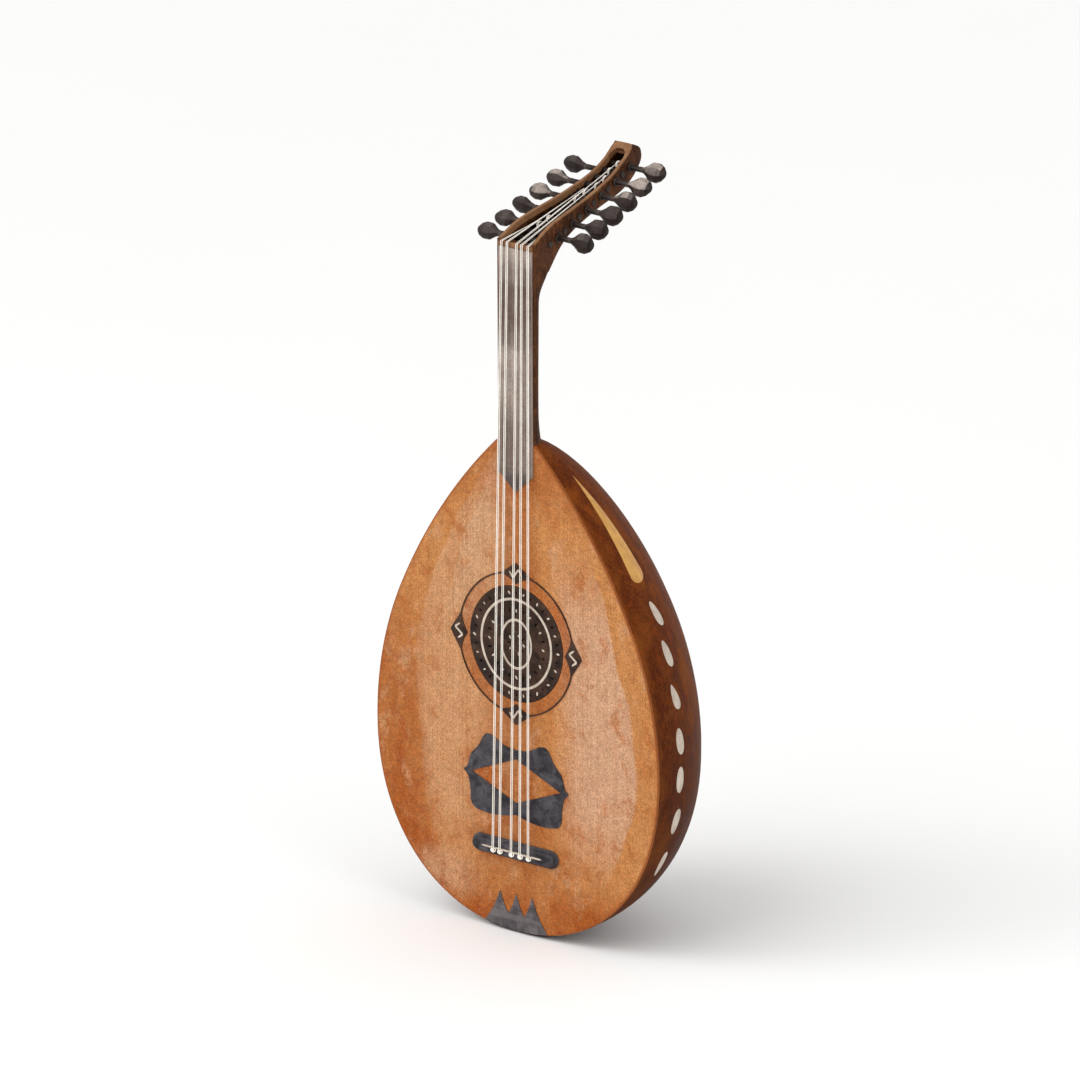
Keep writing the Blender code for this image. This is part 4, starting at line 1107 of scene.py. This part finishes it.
def pegbox_floor():
    """The floor and back of the pegbox, with a softened outer face."""
    inner_back = inset_line(back_line, -2.6 * MM)
    first = LINE_STEPS // 2
    stations = [(back_line[0] + Vector((0.3, 0.3)) * MM, rim_line[0] + Vector((1.5, -0.9)) * MM),
                (back_line[3], Vector((7, 2)) * MM)]
    stations += [(back_line[i], inner_back[i]) for i in range(first, TIP_FIRST + 1)]
    loops = []
    for (y0, z0), (y1, z1) in stations:
        half0, half1 = (pegbox_half(y) - CHEEK - 0.1 * MM for y in (y0, y1))
        loop = []
        for share in (-1, -0.6, 0, 0.6, 1):
            loop.append((half0 * share, y0, TAIL + NUT_Z + z0))
        for share in (1, 0.6, 0, -0.6, -1):
            loop.append((half1 * share, y1, TAIL + NUT_Z + z1))
        loops.append(loop)
    piece("pegbox_floor_board", skin("pegbox_floor_board", loops), "neck", ["pegbox_floor"])


def pegbox_tip():
    """The block that closes the pegbox between the walls' far ends."""
    corner = back_line[TIP_FIRST].lerp(back_line[TIP_FIRST + 1], 0.3)
    rim = rim_line[-TIP_RIM_POINTS:]
    outline = [tuple(v) for v in [*rim, *reversed(back_line[TIP_FIRST + 2:-1]), corner]]
    half = pegbox_half(back_line[TIP_FIRST].x) - CHEEK - 0.4 * MM

    def place(across, up, deep):
        return (deep, across, TAIL + NUT_Z + up)

    mesh = plate("pegbox_tip_block", [outline], -half, half, 0.5 * MM, place)
    piece("pegbox_tip_block", mesh, "neck", ["pegbox_tip"])


def pegbox_rim():
    """One tan strip up both walls and round the tip, with a lip that laps the inside of each wall."""
    turn_y = 148.5 * MM
    lift, thick, lip, reach, shoulder = 0.05 * MM, 1.5 * MM, 0.9 * MM, 4.6 * MM, 1.5 * MM
    outer_corner, inner_corner = 0.35, 0.75
    rows = []  # (outer point, inner point), each (x, y)
    side = [v for v in rim_line if v.x < turn_y]
    for v in side:
        half = pegbox_half(v.x)
        rows.append((Vector((half - shoulder, v.x)), Vector((half - CHEEK, v.x))))
    last = side[-1].x
    outer_half, inner_half = pegbox_half(last) - shoulder, pegbox_half(last) - CHEEK
    outer_end, inner_end = 162.6 * MM, 158.4 * MM
    steps = 11
    for i in range(1, steps + 1):
        t = math.pi / 2 * i / steps
        ends = []
        for half, end, corner in ((outer_half, outer_end, outer_corner), (inner_half, inner_end, inner_corner)):
            ends.append(Vector((half * math.cos(t) ** corner, last + (end - last) * math.sin(t) ** corner)))
        rows.append(tuple(ends))
    rows += [(Vector((-o.x, o.y)), Vector((-i.x, i.y))) for o, i in reversed(rows[:-1])]

    def height(y):
        for a, b in zip(rim_line, rim_line[1:]):
            if a.x <= y <= b.x:
                return a.y + (b.y - a.y) * (y - a.x) / (b.x - a.x)
        return rim_line[-1].y

    def normal(y):
        slope = (height(y + MM) - height(y - MM)) / (2 * MM)
        return Vector((-slope, 1)).normalized()

    loops = []
    for outer, inner in rows:
        loop = []
        toward = (inner - outer).normalized()
        width = (inner - outer).length
        for across, up in ((0, lift), (0, lift + thick - 0.35 * MM), (0.35 * MM, lift + thick),
                           (width + lip - 0.3 * MM, lift + thick), (width + lip, lift + thick - 0.3 * MM),
                           (width + lip, -reach + 0.2 * MM), (width + lip - 0.3 * MM, -reach),
                           (width + 0.1 * MM, -reach), (width + 0.1 * MM, lift)):
            spot = outer + toward * across
            rise = normal(spot.y) * up
            loop.append((spot.x, spot.y + rise.x, TAIL + NUT_Z + height(spot.y) + rise.y))
        loops.append(loop)
    piece("pegbox_rim", skin("pegbox_rim", loops), "rim", ["rim_left", "rim_right"])


# ---------------------------------------------------------------- pegs

def peg(number):
    """A shaft with a turned collar, a slim stem and a flattened head cut in broad flats."""
    y, z = peg_axis(number)
    side, half = peg_side(number), pegbox_half(y)
    axis = Vector((0, y, TAIL + NUT_Z + z))
    turn = math.radians(PEG_REST_TURNS[number])
    tip, root = SHAFT_TIP_RADIUS, SHAFT_HEAD_RADIUS
    end = -half - PEG_OVERHANG
    round_rows = [(end + x * MM, tip + r * MM) for x, r in ((0, -0.9), (0.35, -0.3), (0.9, 0))]
    round_rows += [(-half, tip), (half, root)]
    round_rows += [(half + x * MM, root + r * MM) for x, r in (
        (0.6, 0), (0.9, 0.35), (1.6, 0.5), (2.3, 0.3), (2.8, -0.7), (5.4, -1.05), (10.0, -1.1), (15.0, -0.9),
        (17.6, -1.1),
    )]

    def place(x, across, thick):
        return axis + Vector((
            side * x,
            thick * math.cos(turn) - across * math.sin(turn),
            thick * math.sin(turn) + across * math.cos(turn),
        ))

    stem_sides = 24
    loops = []
    for x, radius in round_rows:
        loops.append([place(x, radius * math.sin(t), radius * math.cos(t))
                      for t in (math.tau * (k + 0.5) / stem_sides for k in range(stem_sides))])
    stem = skin("stem", loops)

    facets = 8
    loops = []
    for x, wide, thick in HEAD:
        grow = 1 / math.cos(math.pi / facets)
        if side < 0 and x > 0:
            grow *= LEFT_HEAD_SIZE
        loop = []
        for k in range(facets):
            t = math.tau * (k + 0.5) / facets
            loop.append(place(half + STEM_LENGTH + x * MM, wide * MM * grow * math.sin(t),
                              thick * MM * grow * math.cos(t)))
        loops.append(loop)
    head = skin("head", loops)
    shape = bmesh.new()
    shape.from_mesh(head)
    bmesh.ops.recalc_face_normals(shape, faces=shape.faces)
    bmesh.ops.bevel(shape, geom=list(shape.edges), offset=0.55 * MM, segments=2, profile=0.6,
                    affect="EDGES", clamp_overlap=True)
    shape.to_mesh(head)
    shape.free()

    name = f"peg_{number + 1:02d}"
    mesh = joined(f"{name}_turned", [stem, head])
    # Painted light, baked per face: flats facing up and to the front are made pale as if lit, the rest dark;
    # the stem grows lighter away from the pegbox and the head darker towards its end.
    stem_end, end_from = 0.42, 0.84
    lit_paleness = 0.3 + 0.65 * LIT_FLAT_PALENESS[number]
    shades = []
    for face in mesh.polygons:
        facing_light = face.normal.dot(PAINTED_LIGHT_SIDE)
        along = (face.center.x * side - half) / (STEM_LENGTH + HEAD_LENGTH)
        if along < stem_end:
            shade = 0.16 + 0.3 * max(0.0, along)
        else:
            shade = 0.2 + lit_paleness * max(0.0, facing_light) ** 5 - 0.4 * max(0.0, along - end_from) / (1 - end_from)
        shades.append(min(1.0, max(0.0, shade + random.uniform(-0.05, 0.05))))
    mesh.attributes.new("facet", "FLOAT", "FACE").data.foreach_set("value", np.array(shades, np.float32))
    piece(f"{name}_turned", mesh, "peg", [name], body=name, sharp=28)


# ---------------------------------------------------------------- strings

def tangent_point(start, middle, radius):
    """Where a line from start touches the front of a circle, in the side view."""
    to_middle = middle - start
    spread = math.acos(radius / to_middle.length)
    away = -to_middle.normalized()
    cos, sin = math.cos(-spread), math.sin(-spread)
    return middle + Vector((away.x * cos - away.y * sin, away.x * sin + away.y * cos)) * radius


def strings():
    """Each string runs from its knot at the saddle, over the nut, to a winding on its own peg."""
    number = 2  # the two pegs nearest the nut carry no string
    longest = 25 * MM
    nut_low, saddle_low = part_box("nut")[0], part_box("bridge_saddle")[0]
    lift = 0.75 * MM
    nut_y, saddle_y = nut_low.y - lift, saddle_low.y - lift
    for nut_x, bridge_x in COURSES:
        for off in (-COURSE_HALF_GAP, COURSE_HALF_GAP):
            x_nut, x_bridge = nut_x * MM + off, bridge_x * MM + off
            axis = peg_axis(number)
            room = pegbox_half(axis.x) - CHEEK - 2.5 * MM
            x_peg = x_nut * min(1.0, room / (COURSES[1][0] * MM + COURSE_HALF_GAP))
            start = Vector((nut_y, 3.1 * MM))
            end = tangent_point(start, axis, shaft_radius(number, x_peg) + lift + 0.1 * MM)
            corners = [
                Vector((x_bridge, saddle_y + 0.2 * MM, TAIL + BRIDGE_Z - 3.2 * MM)),
                Vector((x_bridge, saddle_y, TAIL + BRIDGE_Z)),
                Vector((x_nut, nut_y, TAIL + NUT_Z - 1.5 * MM)),
                Vector((x_nut, nut_y, TAIL + NUT_Z + 1.5 * MM)),
                Vector((x_nut, nut_y + 0.25 * MM, TAIL + NUT_Z + start.y)),
                Vector((x_peg, end.x, TAIL + NUT_Z + end.y)),
            ]
            path = [corners[0]]
            for a, b in zip(corners, corners[1:]):
                parts = max(1, int((b - a).length / longest))
                path += [a.lerp(b, (k + 1) / parts) for k in range(parts)]
            name = f"string_{number - 1:02d}"
            wire = skin(f"{name}_wire", tube(path, STRING_RADIUS))
            piece(f"{name}_wire", wire, "string", [name])
            inward = -1 if x_peg > 0 else 1
            turns = []
            for k in range(3):
                x = x_peg + inward * (1.05 + 0.86 * k) * MM
                centre = Vector((x, axis.x, TAIL + NUT_Z + axis.y))
                coil = ring(centre, shaft_radius(number, x) + 0.36 * MM, 0.41 * MM)
                turns.append(skin("turn", coil, closed=True))
            peg_name = f"peg_{number + 1:02d}"
            winding = joined(f"{peg_name}_winding", turns)
            piece(f"{peg_name}_winding", winding, "string", body=peg_name)
            number += 1


# ---------------------------------------------------------------- unseen parts and stage

def inner_parts():
    """The braces and blocks keep their CAD shapes and get the look of raw spruce."""
    for name in (*[f"brace_{i}" for i in range(1, 7)], "neck_block", "tail_block"):
        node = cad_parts[name]
        node.data.materials.clear()
        node.data.materials.append(LOOKS["raw"])


def floor():
    """A wide plain floor, with its far edge out of sight."""
    corners = [(x * FLOOR_HALF, y * FLOOR_HALF, 0) for x, y in ((-1, -1), (1, -1), (1, 1), (-1, 1))]
    mesh = mesh_of("floor", corners, [(0, 1, 2, 3)])
    obj = bpy.data.objects.new("floor", mesh)
    mesh.materials.append(floor_paint())
    bpy.context.scene.collection.objects.link(obj)


def camera():
    """Looks at the front from the right and a little above, as the picture does."""
    back = Vector((math.sin(AZIMUTH) * math.cos(ELEVATION), -math.cos(AZIMUTH) * math.cos(ELEVATION),
                   math.sin(ELEVATION)))
    right = Vector((math.cos(AZIMUTH), math.sin(AZIMUTH), 0))
    up = back.cross(right)
    data = bpy.data.cameras.new("camera")
    data.lens, data.sensor_width = LENS, SENSOR
    data.clip_end = 60
    obj = bpy.data.objects.new("camera", data)
    foot = Vector((0, BOARD_FRONT, TAIL))
    obj.location = foot + right * AIM_ACROSS + up * AIM_UP + back * FRAME_WIDTH * LENS / SENSOR
    obj.rotation_euler = back.to_track_quat("Z", "Y").to_euler()
    bpy.context.scene.collection.objects.link(obj)
    bpy.context.scene.camera = obj


def area_light(name, place, aim, size, power):
    data = bpy.data.lights.new(name, "AREA")
    data.shape, data.size, data.energy = "DISK", size, power
    obj = bpy.data.objects.new(name, data)
    obj.location = place
    obj.rotation_euler = (Vector(place) - Vector(aim)).to_track_quat("Z", "Y").to_euler()
    bpy.context.scene.collection.objects.link(obj)


def lights():
    """An even pale surround, one broad soft sun for shape, and two softboxes for gloss."""
    world = bpy.data.worlds.new("studio")
    world.use_nodes = True
    world.node_tree.nodes["Background"].inputs[0].default_value = (1, 1, 1, 1)
    world.node_tree.nodes["Background"].inputs[1].default_value = WORLD_LIGHT
    bpy.context.scene.world = world
    data = bpy.data.lights.new("sun", "SUN")
    data.angle, data.energy = SUN_SPREAD, SUN_LIGHT
    sun = bpy.data.objects.new("sun", data)
    sun.rotation_euler = Vector((-0.35, -0.75, 0.75)).to_track_quat("Z", "Y").to_euler()
    bpy.context.scene.collection.objects.link(sun)
    area_light("softbox_left", (-1.6, -1.9, 1.9), (0, 0, 0.4), 1.4, 14)
    area_light("softbox_right", (2.4, -0.6, 1.4), (0, 0.05, 0.35), 1.2, 8)


camera()
bpy.context.scene.view_settings.view_transform = "Standard"
soundboard()
bowl()
side_inlays()
tail_cap()
rosette()
rosette_ring()
pickguard()
tail_spikes()
bridge()
knots()
neck()
fingerboard()
nut()
cheek("left", -1)
cheek("right", 1)
pegbox_floor()
pegbox_tip()
pegbox_rim()
for peg_number in range(PEGS):
    peg(peg_number)
strings()
inner_parts()
floor()
lights()

bpy.context.view_layer.update()
